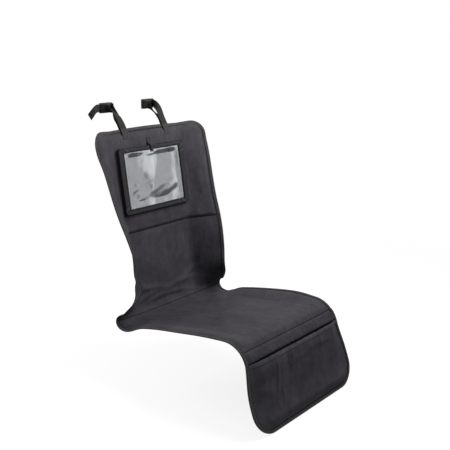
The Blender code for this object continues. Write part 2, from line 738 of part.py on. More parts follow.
def loop_end(reach):
    """The hairpin of webbing round a buckle's bar, in plan, ending on the bar's post side."""
    outside = np.sign(reach)
    turns = np.linspace(0, pi, 5)
    x = reach + outside * BAR_WRAP * np.cos(turns)
    y = BUCKLE_BACK + BAR_WRAP * np.sin(turns)
    points = [(a, b, POST_RISE) for a, b in zip(x, y)]
    return points + [(reach - outside * BAR_WRAP, BUCKLE_BACK - BAR_LEAD, POST_RISE)]


def strap_leg(name, side, outside, lap_height, lap_end):
    """One leg: flat on the panel, twisting upright on its way past the post to the buckle."""
    place = strap_frame(side)
    arch = TOP_ARCH * (STRAP_OFFSET / BACK_HALF_WIDTH) ** 2
    lap_v = V_TOP + arch + np.array([STRAP_LAP, STRAP_LAP / 2, LAP_EDGE])
    lap = surface(side * STRAP_OFFSET, lap_v, np.array([lap_height, lap_height, lap_end]))
    drop = 0.0 if outside > 0 else RETURN_DROP
    back = 0.0 if outside > 0 else RETURN_BACK
    reach = outside * LOOP_REACH
    free = np.array([
        (0.000, POST_BACK * 0.14 + back, 0.40 * POST_RISE - drop * 0.6),
        (reach * 0.13, POST_BACK * 0.40 + back, 0.74 * POST_RISE - drop),
        (reach * 0.29, POST_BACK * 0.70, 0.94 * POST_RISE - drop),
        (reach * 0.50, POST_BACK * 0.96, POST_RISE - drop * 0.2),
        (reach + outside * BAR_WRAP * 0.86, BUCKLE_BACK - BAR_LEAD, POST_RISE),
    ])
    points = np.vstack([lap, place(free), place(loop_end(reach))])
    twist = np.radians([0, 0, 0, 4, 22, 55, 84, 90, 90, 90, 90, 90, 90, 90])
    path = smooth_path(np.hstack([points, twist[:, None]]), 3)
    lean = outside * side
    widths = np.stack([np.cos(path[:, 3]), 0 * path[:, 3], lean * np.sin(path[:, 3])], axis=-1)
    ribbon(name, path[:, :3], widths, STRAP_WIDTH, STRAP_THICKNESS, BLACK_WEBBING)


def strap_tail(name, side, reach, back, drop, twist):
    """The webbing's free end, lying against the outer leg where it leaves the buckle.

    reach, back and drop place its points: outward from the post, behind the buckle's bar, and
    down from the buckle's height.
    """
    place = strap_frame(side)
    beside = LOOP_REACH + BAR_WRAP + STRAP_THICKNESS + GAP * 2
    start = [(beside, BUCKLE_BACK - BAR_LEAD * 2 / 3, POST_RISE), (beside, BUCKLE_BACK + BAR_LEAD / 3, POST_RISE)]
    free = np.stack([reach, BUCKLE_BACK + back, POST_RISE - drop], axis=-1)
    points = place(np.vstack([start, free]))
    path = smooth_path(np.hstack([points, np.radians(twist)[:, None]]), 3)
    widths = np.stack([np.cos(path[:, 3]) * side, 0 * path[:, 3], np.sin(path[:, 3])], axis=-1)
    ribbon(name, path[:, :3], widths, STRAP_WIDTH, STRAP_THICKNESS, BLACK_WEBBING)


# Side-release buckle: plain boxes and bars joined and cut, drawn behind each post
def box(name, low, high, group=CUTTERS):
    """A box between two corners, in the strap's own directions."""
    bpy.ops.mesh.primitive_cube_add(size=1)
    made = bpy.context.active_object
    made.name = name
    made.scale = np.subtract(high, low)
    made.location = np.add(low, high) / 2
    bpy.ops.object.transform_apply(location=True, rotation=False, scale=True)
    for holder in list(made.users_collection):
        holder.objects.unlink(made)
    group.objects.link(made)
    return made


def upright_bar(name, x):
    bpy.ops.mesh.primitive_cylinder_add(vertices=12, radius=BAR_RADIUS, depth=BUCKLE_HEIGHT - 2 * BAR_SINK)
    made = bpy.context.active_object
    made.name = name
    made.location = (x, BUCKLE_BACK, POST_RISE)
    bpy.ops.object.transform_apply(location=True, rotation=False, scale=False)
    for holder in list(made.users_collection):
        holder.objects.unlink(made)
    CUTTERS.objects.link(made)
    return made


def combine(made, other, operation):
    """Joins or cuts with a helper, which is then hidden from the render."""
    step = made.modifiers.new(operation.lower(), "BOOLEAN")
    step.operation = operation
    step.object = other
    step.solver = "EXACT"
    other.hide_render = True
    other.display_type = "WIRE"


def buckle_part(name, side, body, joined, cut, corner):
    """A moulded half: a body with softened edges, pieces joined to it and cuts, put behind the post."""
    made = box(name, *body, group=PARTS)
    soft = made.modifiers.new("soft_edges", "BEVEL")
    soft.width = corner
    soft.segments = 2
    for index, corners in enumerate(joined):
        combine(made, box(f"{name}_join_{index}", *corners), "UNION")
    combine(made, upright_bar(f"{name}_bar", np.sign(body[0][0] + body[1][0]) * LOOP_REACH), "UNION")
    for index, corners in enumerate(cut):
        combine(made, box(f"{name}_cut_{index}", *corners), "DIFFERENCE")
    graph = bpy.context.evaluated_depsgraph_get()
    mesh = bpy.data.meshes.new_from_object(made.evaluated_get(graph))
    made.modifiers.clear()
    made.data = mesh
    points = np.empty(len(mesh.vertices) * 3)
    mesh.vertices.foreach_get("co", points)
    mesh.vertices.foreach_set("co", strap_frame(side)(points.reshape(-1, 3)).ravel())
    if side < 0:
        mesh.flip_normals()
    mesh.materials.clear()
    mesh.materials.append(BLACK_PLASTIC)
    return made


def side_release_buckle(side, word):
    """Socket on the inner leg and plug on the outer leg of one loop."""
    y0, y1 = BUCKLE_BACK - BUCKLE_THICKNESS / 2, BUCKLE_BACK + BUCKLE_THICKNESS / 2
    z0, z1 = POST_RISE - BUCKLE_HEIGHT / 2, POST_RISE + BUCKLE_HEIGHT / 2
    arm = (BUCKLE_HEIGHT - STRAP_WIDTH) / 2 - 2 * GAP
    arm_z = ((z0 + GAP, z0 + arm), (z1 - arm, z1 - GAP))
    back = -LOOP_REACH + BAR_WRAP + BODY_SETBACK
    mouth = back + SOCKET_LENGTH
    arms = [((-LOOP_REACH - BAR_RADIUS, y0 + ARM_ROOT, a), (back + ARM_ROOT, y1 - ARM_ROOT, b))
            for a, b in arm_z]
    hollow = ((back + HOLLOW_FLOOR, y0 + BUCKLE_WALL, z0 + BUCKLE_WALL),
              (mouth + CUT_PAST, y1 - BUCKLE_WALL, z1 - BUCKLE_WALL))
    window = back + WINDOW_START
    windows = [((window, y0 + BUCKLE_WALL, z - CUT_PAST), (window + WINDOW_LENGTH, y1 - BUCKLE_WALL, z + CUT_PAST))
               for z in (z0, z1)]
    buckle_part(f"buckle_socket_{word}", side, ((back, y0, z0), (mouth, y1, z1)), arms,
                [hollow, *windows], SOCKET_SOFTNESS)
    shoulder = mouth + GAP
    front = LOOP_REACH - BAR_WRAP - BODY_SETBACK
    plug_arms = [((front - ARM_ROOT, y0 + ARM_ROOT, a), (LOOP_REACH + BAR_RADIUS, y1 - ARM_ROOT, b))
                 for a, b in arm_z]
    tip = back + HOLLOW_FLOOR + PRONG_REACH
    root = shoulder + ARM_ROOT
    low_y, high_y = y0 + BUCKLE_WALL + PRONG_GAP, y1 - BUCKLE_WALL - PRONG_GAP
    low_z, high_z = z0 + BUCKLE_WALL + PRONG_GAP, z1 - BUCKLE_WALL - PRONG_GAP
    prong_z = ((low_z, low_z + PRONG_HEIGHT), (high_z - PRONG_HEIGHT, high_z),
               (POST_RISE - MIDDLE_PRONG / 2, POST_RISE + MIDDLE_PRONG / 2))
    prongs = [((tip, low_y, a), (root, high_y, b)) for a, b in prong_z]
    buckle_part(f"buckle_plug_{word}", side, ((shoulder, y0, z0), (front, y1, z1)),
                [*plug_arms, *prongs], [], PLUG_SOFTNESS)


FRONT_LAP = FACE_HEIGHT + GAP + HALF_STRAP
BACK_LAP = -GAP - TAPE - GAP - HALF_STRAP
for side, word in ((-1, "left"), (1, "right")):
    strap_leg(f"strap_{word}", side, 1, FRONT_LAP, FRONT_LAP - STRAP_THICKNESS)
    strap_leg(f"strap_return_{word}", side, -1, BACK_LAP, BACK_LAP - LAP_EASE)
    side_release_buckle(side, word)

# The left tail hangs down behind the post; the right one is tucked in behind its buckle
strap_tail("strap_tail_left", -1, LOOP_REACH * np.array([1.125, 0.83, 0.42, 0.08]),
           TAIL_LENGTH * np.array([0.15, 0.38, 0.70, 1.0]), TAIL_DROP * np.array([0.06, 0.25, 0.61, 1.0]),
           [90, 90, 86, 78, 66, 56])
strap_tail("strap_tail_right", 1, LOOP_REACH * np.array([1.10, 0.75, 0.17, -0.42]),
           BUCKLE_THICKNESS * np.array([0.69, 0.94, 0.83, 0.80]), np.zeros(4),
           [90, 90, 90, 90, 90, 90])
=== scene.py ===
from math import atan2, cos, pi, radians, sin

import bpy
import numpy as np
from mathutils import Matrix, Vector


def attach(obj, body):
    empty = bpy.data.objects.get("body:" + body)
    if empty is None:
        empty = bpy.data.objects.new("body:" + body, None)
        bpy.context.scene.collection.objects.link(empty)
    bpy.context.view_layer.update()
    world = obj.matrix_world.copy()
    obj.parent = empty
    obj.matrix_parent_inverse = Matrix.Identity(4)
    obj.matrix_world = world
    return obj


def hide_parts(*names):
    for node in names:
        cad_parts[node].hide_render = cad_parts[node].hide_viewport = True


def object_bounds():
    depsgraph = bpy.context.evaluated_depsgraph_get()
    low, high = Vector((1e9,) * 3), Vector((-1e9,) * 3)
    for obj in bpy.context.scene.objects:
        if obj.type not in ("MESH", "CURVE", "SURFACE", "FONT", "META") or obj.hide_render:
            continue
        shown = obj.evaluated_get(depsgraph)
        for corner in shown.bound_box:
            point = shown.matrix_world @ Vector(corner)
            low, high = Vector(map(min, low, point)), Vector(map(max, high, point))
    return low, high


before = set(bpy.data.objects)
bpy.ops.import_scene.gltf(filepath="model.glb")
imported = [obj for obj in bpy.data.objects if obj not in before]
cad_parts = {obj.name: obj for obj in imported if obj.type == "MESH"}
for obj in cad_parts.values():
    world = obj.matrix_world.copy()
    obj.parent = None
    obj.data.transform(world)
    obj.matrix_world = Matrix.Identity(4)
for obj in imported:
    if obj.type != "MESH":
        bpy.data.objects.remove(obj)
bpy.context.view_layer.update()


# Upper back panel: thin foam between a woven face and a lining, sewn flat round the edge. It
# lies on the seat back and its sides bend forward on the bolsters. Every sewn piece is drawn
# by u across the cover, v along it from the seat crease, and h off the face that touches the seat.
BACK_LEAN = radians(8.5)
SEAT_RISE = radians(7.5)
FLAP_FLARE = radians(17.8)
CREASE_RADIUS = 0.040
FRONT_RADIUS = 0.073
TOP_ROLL_RADIUS = 0.190
TOP_ROLL_LENGTH = 0.058
FOLD_RADIUS = 0.030
V_SEAM = -0.262
V_TOP = V_SEAM - 0.328
V_FRONT = 0.489
V_ROLL = V_FRONT - 0.060
V_BEND = (V_ROLL + V_FRONT) / 2
V_MOUTH = V_FRONT + 0.036
V_FOOT = V_FRONT + 0.236
V_REST = 0.230
V_SETTLED = 0.120
V_POCKET_FOOT = V_SEAM - 0.060
V_POCKET_HEAD = V_POCKET_FOOT - 0.208
BACK_FOLD = 0.142
BACK_HALF_WIDTH = 0.248
SEAT_HALF_WIDTH = 0.240
FRONT_HALF_WIDTH = 0.2255
TOP_CORNER = 0.050
FLAP_CORNER = 0.068
TOP_ARCH = 0.010
WING_STOP = 0.085
SHEET = 0.0019
BACK_PAD = 0.0050
PINCH = 0.018
TAPE_WRAP = 0.009
# Widths of the painted shade beside a tape and beside a seam.
TAPE_SHADE = 0.0026
SEAM_SHADE = 0.0014
CREASE_TURN = pi / 2 - BACK_LEAN + SEAT_RISE
HALF_CREASE = CREASE_RADIUS * CREASE_TURN / 2


def through(x, table):
    """Smooth curve through a table of place: value. A cubic in between, each slope from its neighbours."""
    knots, values = np.array([*table], float), np.array([*table.values()], float)
    slopes = np.gradient(values, knots)
    x = np.clip(x, knots[0], knots[-1])
    i = np.clip(np.searchsorted(knots, x, side="right") - 1, 0, len(knots) - 2)
    span = knots[i + 1] - knots[i]
    t = (x - knots[i]) / span
    ends = t * (1 - t) * span * ((1 - t) * slopes[i] - t * slopes[i + 1])
    return values[i] + (3 - 2 * t) * t * t * (values[i + 1] - values[i]) + ends


def ease(t):
    """0 below 0, 1 above 1, and 3t^2 - 2t^3 between."""
    t = np.clip(t, 0, 1)
    return t * t * (3 - 2 * t)


def spine_stretches():
    """(start v, forward, up, direction, curvature) of each straight or arc, from top edge to foot."""
    lengths = [
        (TOP_ROLL_LENGTH, -1 / TOP_ROLL_RADIUS),
        (-HALF_CREASE - V_TOP - TOP_ROLL_LENGTH, 0),
        (2 * HALF_CREASE, 1 / CREASE_RADIUS),
        (V_ROLL - HALF_CREASE, 0),
        (FRONT_RADIUS * (SEAT_RISE + pi / 2 - FLAP_FLARE), -1 / FRONT_RADIUS),
        (1.0, 0),
    ]
    v, forward, up = V_TOP, 0.0, 0.0
    direction = BACK_LEAN - pi / 2 + TOP_ROLL_LENGTH / TOP_ROLL_RADIUS
    found = []
    for length, curvature in lengths:
        found.append((v, forward, up, direction, curvature))
        turned = direction + curvature * length
        if curvature:
            forward += (sin(turned) - sin(direction)) / curvature
            up += (cos(direction) - cos(turned)) / curvature
        else:
            forward += length * cos(direction)
            up += length * sin(direction)
        v += length
        direction = turned
    return np.array(found)


STRETCHES = spine_stretches()


def spine(v):
    """Forward, up and direction at v: run along a straight, or the sine and cosine of an arc."""
    v = np.asarray(v, float)
    at = np.clip(np.searchsorted(STRETCHES[:, 0], v, side="right") - 1, 0, len(STRETCHES) - 1)
    start, forward, up, direction, curvature = np.moveaxis(STRETCHES[at], -1, 0)
    run = v - start
    turned = direction + curvature * run
    bend = np.where(curvature == 0, 1, curvature)
    arc_along, arc_up = np.sin(turned) - np.sin(direction), np.cos(direction) - np.cos(turned)
    along = np.where(curvature == 0, run * np.cos(direction), arc_along / bend)
    rise = np.where(curvature == 0, run * np.sin(direction), arc_up / bend)
    return forward + along, up + rise, turned


REST_FORWARD, REST_UP, _ = spine(V_REST)


def fold_line(v):
    """Distance from the centre line to the fold where a side starts to bend up."""
    return through(v, {V_TOP: BACK_FOLD, V_POCKET_FOOT: BACK_FOLD, V_SEAM: 0.124, -WING_STOP: 0.124,
                       0.0: 0.140, V_SETTLED: 0.150, V_FOOT: 0.150})


def side_angle(v):
    """Angle of the bent side off the flat middle, steepest just above the crease."""
    quarter = (V_SEAM - V_POCKET_HEAD) / 4
    return np.radians(through(v, {
        V_TOP: 20, V_POCKET_HEAD: 21.12, V_POCKET_HEAD + quarter: 32.88, V_SEAM - quarter: 46.6,
        V_SEAM: 48, V_SEAM + 0.105: 54, -WING_STOP: 57, -HALF_CREASE: 25, 0.0: 5, HALF_CREASE: -4,
        V_SETTLED: 6, 0.27: 12, V_FRONT - 0.11: 12, V_BEND: 6, V_MOUTH: 0, V_FOOT: 0}))


def side_width(v):
    """Half width of the cover before its corners are rounded."""
    return through(v, {
        V_TOP: BACK_HALF_WIDTH, -WING_STOP: BACK_HALF_WIDTH, 0.0: 0.244, V_SETTLED: SEAT_HALF_WIDTH,
        V_BEND - 0.105: SEAT_HALF_WIDTH, V_BEND: FRONT_HALF_WIDTH, V_MOUTH: FRONT_HALF_WIDTH,
        V_MOUTH + 0.085: SEAT_HALF_WIDTH, V_FOOT: SEAT_HALF_WIDTH})


def outline(v):
    """Half width at v: the sides, less a quarter circle at each top and foot corner."""
    from_top = np.clip(v - V_TOP, 0, TOP_CORNER)
    from_foot = np.clip(V_FOOT - v, 0, FLAP_CORNER)
    round_top = np.sqrt(np.maximum(TOP_CORNER**2 - (TOP_CORNER - from_top) ** 2, 0))
    round_foot = np.sqrt(np.maximum(FLAP_CORNER**2 - (FLAP_CORNER - from_foot) ** 2, 0))
    return side_width(v) - TOP_CORNER + round_top - FLAP_CORNER + round_foot


def lying(u, v):
    """The face on the seat: flat to the fold line, an arc of FOLD_RADIUS, then straight to the edge."""
    forward, up, direction = spine(v)
    fold, wing = fold_line(v), side_angle(v)
    turn = np.clip((np.abs(u) - fold) / FOLD_RADIUS, 0, np.abs(wing)) * np.sign(wing)
    flank = np.maximum(np.abs(u) - fold - FOLD_RADIUS * np.abs(wing), 0)
    side = np.minimum(np.abs(u), fold) + FOLD_RADIUS * np.sin(np.abs(turn)) + flank * np.cos(wing)
    lift = FOLD_RADIUS * (1 - np.cos(turn)) * np.sign(wing) + flank * np.sin(wing)
    forward = forward - REST_FORWARD - lift * np.sin(direction)
    up = up - REST_UP + lift * np.cos(direction)
    return np.stack([np.copysign(side, u), -forward, up], axis=-1)


def unit(vectors):
    """The vectors, each brought to length 1."""
    return vectors / np.linalg.norm(vectors, axis=-1, keepdims=True)


def on_cover(u, v, h):
    """Points h off the lying face along its normal, the cross product of its two slopes."""
    u, v, h = np.broadcast_arrays(u, v, h)
    step = 1e-5
    across = lying(u + step, v) - lying(u - step, v)
    along = lying(u, v + step) - lying(u, v - step)
    return lying(u, v) + unit(np.cross(along, across)) * h[..., None]


def edge_distance(u, v):
    """Distance in from the outline, measured round the two top corners."""
    beside, below = side_width(v) - np.abs(u), v - V_TOP
    corner = TOP_CORNER - np.hypot(TOP_CORNER - beside, TOP_CORNER - below)
    return np.where((beside < TOP_CORNER) & (below < TOP_CORNER), corner, np.minimum(beside, below))


def panel_grid(rows, columns):
    """u and v over a panel: equal shares of the half width on each row, the top row slightly arched."""
    u = outline(rows)[:, None] * np.linspace(-1, 1, columns)
    fade = np.clip(1 - (rows[:, None] - V_TOP) / TOP_CORNER, 0, 1)
    return u, rows[:, None] + TOP_ARCH * (u / BACK_HALF_WIDTH) ** 2 * fade


def wander(x):
    """An uneven wave between about -1 and 1: three sines whose lengths don't match."""
    return (np.sin(x) + 0.6 * np.sin(1.73 * x + 1.3) + 0.4 * np.sin(2.91 * x + 4.1)) / 2


def bell(distance, width):
    """1 at no distance, falling off as exp(-(distance / width)^2)."""
    return np.exp(-((distance / width) ** 2))


def ridges(u, v, folds):
    """Sum of long soft folds, each a bell across its line and a wider bell along it.

    A fold is (u, v, angle off the u direction in degrees, length, width, height).
    """
    total = np.zeros(np.broadcast(u, v).shape)
    for at_u, at_v, angle, length, width, height in folds:
        turn = radians(angle)
        along = (u - at_u) * cos(turn) + (v - at_v) * sin(turn)
        across = (v - at_v) * cos(turn) - (u - at_u) * sin(turn) - 0.12 * along**2 / length
        total += height * bell(across, width) * bell(along, length)
    return total


def put_object(name, data):
    """An object at the origin, in the scene."""
    made = bpy.data.objects.new(name, data)
    bpy.context.scene.collection.objects.link(made)
    return made


def put_mesh(name, points, faces, uv, finish, crevice_shade):
    """An object at the origin from points and faces, with uv metres at each corner of a face.

    Its crevice value, from 0 to 1 at each point, is how strongly painted shade darkens it beside seams and
    tapes.
    """
    mesh = bpy.data.meshes.new(name)
    mesh.from_pydata(points.tolist(), [], faces.tolist())
    corners = np.empty(len(mesh.loops), np.int32)
    mesh.loops.foreach_get("vertex_index", corners)
    layer = mesh.uv_layers.new(name="cloth")
    layer.data.foreach_set("uv", uv[corners].astype(np.float32).ravel())
    depth = mesh.attributes.new("crevice_shade", "FLOAT", "POINT")
    depth.data.foreach_set("value", crevice_shade)
    mesh.shade_smooth()
    mesh.materials.append(finish)
    return put_object(name, mesh)


def shell(name, top, bottom, u, v, finish, crevice_shade=0.0, ring=False):
    """A closed form: the grid top, the grid bottom under it, and a rim round their borders.

    In a ring the last row lies on the first, so the two are one row and need no rim.
    """
    u, v, crevice_shade, _ = np.broadcast_arrays(u, v, crevice_shade, top[..., 0])
    if ring:
        top, bottom, u, v, crevice_shade = [grid[1:] for grid in (top, bottom, u, v, crevice_shade)]
    count = u.size
    index = np.arange(count).reshape(u.shape)
    if ring:
        index = np.vstack([index, index[:1]])
        rims = [index[:, -1], index[::-1, 0]]
    else:
        rims = [index[0], index[:, -1], index[-1, ::-1], index[::-1, 0]]
    quads = np.stack([index[:-1, :-1], index[1:, :-1], index[1:, 1:], index[:-1, 1:]], -1).reshape(-1, 4)
    sides = [np.stack([rim[:-1], rim[1:], rim[1:] + count, rim[:-1] + count], -1) for rim in rims]
    faces = np.vstack([quads, quads[:, ::-1] + count, *sides])
    points = np.vstack([top.reshape(-1, 3), bottom.reshape(-1, 3)])
    uv = np.tile(np.stack([u.ravel(), v.ravel()], -1), (2, 1))
    made = put_mesh(name, points, faces, uv, finish, np.tile(crevice_shade.ravel(), 2))
    made.data.set_sharp_from_angle(angle=radians(60))
    return made


def in_place(piece, slot, *nodes):
    """Puts a piece on the one body, instead of the solids named; slot is not used."""
    if nodes:
        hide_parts(*nodes)
    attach(piece, "root")


class Wire:
    """A shader socket. + - and * on it add Math nodes, with numbers or other wires."""

    def __init__(self, tree, socket):
        self.tree, self.socket = tree, socket

    def maths(self, operation, *others):
        """A Math node of this wire and the others."""
        inputs = dict(enumerate([self, *others]))
        return add_node(self.tree, "Math", {"operation": operation}, inputs)[0]

    def clamped(self):
        """This wire, kept between 0 and 1."""
        return self.maths("MAXIMUM", 0.0).maths("MINIMUM", 1.0)

    def __add__(self, other):
        return self.maths("ADD", other)

    def __sub__(self, other):
        return self.maths("SUBTRACT", other)

    def __rsub__(self, other):
        return self * -1.0 + other

    def __mul__(self, other):
        return self.maths("MULTIPLY", other)

    __radd__, __rmul__ = __add__, __mul__


def set_inputs(tree, node, inputs):
    """Sets a node's inputs, by name or number, to constants or wires."""
    for key, value in inputs.items():
        if isinstance(value, Wire):
            tree.links.new(value.socket, node.inputs[key])
        else:
            node.inputs[key].default_value = value


def add_node(tree, kind, settings, inputs):
    """Adds a node with its settings and inputs; returns its outputs as wires."""
    node = tree.nodes.new("ShaderNode" + kind)
    for key, value in settings.items():
        setattr(node, key, value)
    set_inputs(tree, node, inputs)
    return [Wire(tree, socket) for socket in node.outputs]


def feed(tree, shader, **sockets):
    """Sets the shader's sockets of these names, to constants or wires."""
    set_inputs(tree, shader, {key.replace("_", " "): value for key, value in sockets.items()})


def new_finish(name, **constants):
    """A material with its Principled shader's constant sockets set; returns it, its tree and the shader."""
    made = bpy.data.materials.new(name)
    made.use_nodes = True
    shader = made.node_tree.nodes["Principled BSDF"]
    feed(made.node_tree, shader, **constants)
    return made, made.node_tree, shader


def between(tree, share, *ends):
    """The colour that lies share of the way from one end to the other, each a colour or a wire."""
    low, high = [end if isinstance(end, Wire) else (*end, 1) for end in ends]
    return add_node(tree, "Mix", {"data_type": "RGBA"}, {0: share, 6: low, 7: high})[2]


def bumps(tree, height, strength, distance, **under):
    """The normal of a surface that rises with height, over another normal where one is given."""
    inputs = {"Height": height, "Strength": strength, "Distance": distance, **under}
    return add_node(tree, "Bump", {}, inputs)[0]


def cloth_map(tree):
    """The wire of a piece's cloth map, whose u and v are metres across and along the cloth."""
    return add_node(tree, "UVMap", {"uv_map": "cloth"}, {})[0]


def cloth_place(tree):
    """The u and v wires of the cloth map."""
    return add_node(tree, "SeparateXYZ", {}, {0: cloth_map(tree)})[:2]


def noise(tree, place, scale, detail):
    """Soft noise about 0.5 at a place, scale patches of it to a unit."""
    return add_node(tree, "TexNoise", {}, {"Vector": place, "Scale": scale, "Detail": detail})[0]


def blotches(tree, scale, detail=3.0):
    """Soft uneven patches over the object, scale of them to a metre."""
    return noise(tree, add_node(tree, "TexCoord", {}, {})[3], scale, detail)


def streaks(tree, across, along, detail=3.0, turn=0.0):
    """Uneven streaks on the cloth map: across and along of them to a metre, turned by an angle."""
    inputs = {0: cloth_map(tree), 2: (0, 0, turn), 3: (across, along, 1)}
    return noise(tree, add_node(tree, "Mapping", {}, inputs)[0], 1.0, detail)


def painted_crevice_shade(tree, colour):
    """The colour with painted shade: nearly black in the crevices beside seams and tapes, where no light
    reaches.
    """
    depth = add_node(tree, "Attribute", {"attribute_name": "crevice_shade"}, {})[2]
    return between(tree, depth * 0.93, colour, (0.004, 0.004, 0.005))


def woven_finish(name, dark, light, thread, roughness, relief, grain):
    """Plain weave: a checker of raised threads from two sines, slub along each thread, soft patches.

    grain is how strongly the short uneven flecks show.
    """
    made, tree, shader = new_finish(name, Specular_IOR_Level=0.08)
    warp, weft = [(place * (pi / thread)).maths("SINE") for place in cloth_place(tree)]
    raised = warp * weft * 0.5 + 0.5
    slub = blotches(tree, 900.0, 1.0)
    patch = blotches(tree, 13.0, 2.0)
    mottle = blotches(tree, 46.0)
    fleck = blotches(tree, 210.0)
    drag = streaks(tree, 90.0, 14.0)
    tone = patch * 0.9 + mottle * 0.6 + fleck * grain + drag * 0.4 + slub * 0.15 + raised * 0.15
    tone = tone - (0.60 + grain / 2)
    weave = bumps(tree, raised + slub * 0.5, relief, thread * 0.25)
    # Base colour darkened by painted shade in the crevices beside seams and tapes.
    feed(tree, shader, Base_Color=painted_crevice_shade(tree, between(tree, tone, dark, light)),
         Roughness=patch * 0.12 + (roughness - 0.06),
         Normal=bumps(tree, mottle + drag * 0.4, 0.4, 0.0030, Normal=weave))
    return made


FACE_CLOTH = woven_finish("charcoal_weave", (0.026, 0.024, 0.029), (0.078, 0.073, 0.084),
                          0.0006, 0.70, 0.5, 0.4)
LINING_CLOTH = woven_finish("lining_weave", (0.020, 0.020, 0.022), (0.042, 0.042, 0.045),
                            0.0011, 0.80, 0.6, 0.6)


def laid(name, u, v, top, bottom, finish, crevice_shade=0.0):
    """A shell of the cover, with its face and its back so far off the seat."""
    return shell(name, on_cover(u, v, top), on_cover(u, v, bottom), u, v, finish, crevice_shade)


def panel_rows(start, end, head, foot, count):
    """Rows from start to end, even in the middle and crowded over a reach at both edges.

    head and foot are (reach, rows). They crowd as 1 - cos, so that a rounded corner comes out round.
    """
    near, far = [reach * (1 - np.cos(np.linspace(0, pi / 2, rows))) for reach, rows in (head, foot)]
    middle = np.linspace(start + head[0], end - foot[0], count)
    return np.concatenate([start + near[:-1], middle[:-1], (end - far)[::-1]])


def seam_dip(distance):
    """Depth of the groove at a seam: a bell 1 mm deep and 1.8 mm wide."""
    return 0.0010 * bell(distance, 0.0018)


def edge_shade(to_tape, to_seam):
    """Painted shade beside a tape and a seam: the greater of two bells."""
    return np.maximum(bell(to_tape, TAPE_SHADE), bell(to_seam, SEAM_SHADE))


def puckers(wave, inside, middle=0.010, width=0.008):
    """The wave, kept to a soft band inside a sewn edge and gone at the stitches."""
    return wave * bell(inside - middle, width) * ease(inside / 0.004)


def back_inside(u, v):
    """Distance in from the tape or, counted double because the pad fills closer to it, from the seam."""
    return np.minimum(edge_distance(u, v) - TAPE_WRAP, 2 * (V_SEAM - v))


def back_rise(u, v):
    """Height of the padded face: a full pad pinched at the edges, with puckers and a soft unevenness."""
    inside = back_inside(u, v)
    full = ease(inside / PINCH)
    pucker = puckers(0.0009 * wander(150 * v + 90 * u), inside)
    uneven = 0.0005 * wander(31 * v + 3) * wander(26 * u + 1)
    return SHEET + BACK_PAD * full + pucker + uneven * full - seam_dip(V_SEAM - v)


BACK_PULLS = [(-0.185, -0.315, 62, 0.050, 0.010, 0.0016), (0.190, -0.305, -58, 0.045, 0.011, 0.0014),
              (-0.166, -0.385, 78, 0.100, 0.011, 0.0046), (-0.194, -0.375, 78, 0.090, 0.010, -0.0030),
              (-0.212, -0.470, 72, 0.050, 0.012, 0.0030), (0.205, -0.420, -86, 0.080, 0.012, 0.0020),
              (-0.175, -0.560, 28, 0.040, 0.010, 0.0012), (0.165, -0.555, -30, 0.045, 0.012, 0.0014),
              (0.010, -0.292, 4, 0.080, 0.009, 0.0010)]
UPPER_ROWS = panel_rows(V_TOP, V_SEAM, (TOP_CORNER, 16), (PINCH, 12), 72)
u, v = panel_grid(UPPER_ROWS, 143)
rise = back_rise(u, v) + ridges(u, v, BACK_PULLS) * ease(back_inside(u, v) / 0.020)
upper_pad = laid("upper_back_pad", u, v, rise, 0.0, FACE_CLOTH,
                 edge_shade(edge_distance(u, v) - TAPE_WRAP, V_SEAM - v))


def line_back(piece):
    """Gives the lining finish to the faces that touch the seat: the second half of a shell's quads."""
    piece.data.materials.append(LINING_CLOTH)
    used = np.zeros(len(piece.data.polygons), np.int32)
    corners = np.empty(len(piece.data.loops), np.int32)
    piece.data.loops.foreach_get("vertex_index", corners)
    quads = corners.reshape(-1, 4)
    used[(quads >= len(piece.data.vertices) // 2).all(axis=1)] = 1
    piece.data.polygons.foreach_set("material_index", used)


line_back(upper_pad)
in_place(upper_pad, "black_polyester", "upper_back_face", "upper_back_foam", "upper_back_lining")


# Lower back panel: one doubled sheet of the same woven cloth, sewn to the padded panels above
# and below. It runs down between the bolsters, where the cushion's crease gathers it in folds.
SHEET_EDGE = 0.010
LOWER_FOLDS = [(-0.060, -0.070, 8, 0.075, 0.009, 0.0042), (-0.095, -0.048, -14, 0.050, 0.008, 0.0038),
               (0.050, -0.060, -7, 0.085, 0.009, 0.0040), (0.120, -0.085, -26, 0.050, 0.010, 0.0036),
               (-0.125, -0.100, 30, 0.050, 0.010, 0.0034), (0.010, -0.036, 2, 0.110, 0.008, 0.0036),
               (-0.170, -0.150, 64, 0.060, 0.012, 0.0024), (0.175, -0.160, -66, 0.060, 0.012, 0.0024),
               (0.000, -0.190, 80, 0.060, 0.020, 0.0016), (-0.080, -0.215, 70, 0.040, 0.016, 0.0014),
               (0.090, -0.205, -72, 0.040, 0.016, 0.0014)]
LOWER_ROWS = panel_rows(V_SEAM, 0.0, (SHEET_EDGE, 8), (SHEET_EDGE, 8), 86)


def from_side(u, v):
    """Distance in from the tape at a side."""
    return outline(v) - np.abs(u) - TAPE_WRAP


u, v = panel_grid(LOWER_ROWS, 143)
to_tape = from_side(u, v)
held = ease(to_tape / 0.03) * ease((v - V_SEAM) / 0.02) * ease(-v / 0.02)
lift = held * (ridges(u, v, LOWER_FOLDS) + 0.0006 * (1 + wander(42 * v + 18 * u)))
to_seam = np.minimum(v - V_SEAM, -v)
lower_cloth = laid("lower_back_cloth", u, v, SHEET + lift - seam_dip(to_seam), lift, FACE_CLOTH,
                   edge_shade(to_tape, to_seam))
line_back(lower_cloth)
in_place(lower_cloth, "black_polyester", "lower_back_panel")


def cut_area(rows):
    """Flat area of a panel: twice its half width, summed down its rows."""
    widths = 2 * outline(rows)
    return float(np.sum((widths[1:] + widths[:-1]) / 2 * np.diff(rows)))


cut_area(LOWER_ROWS)


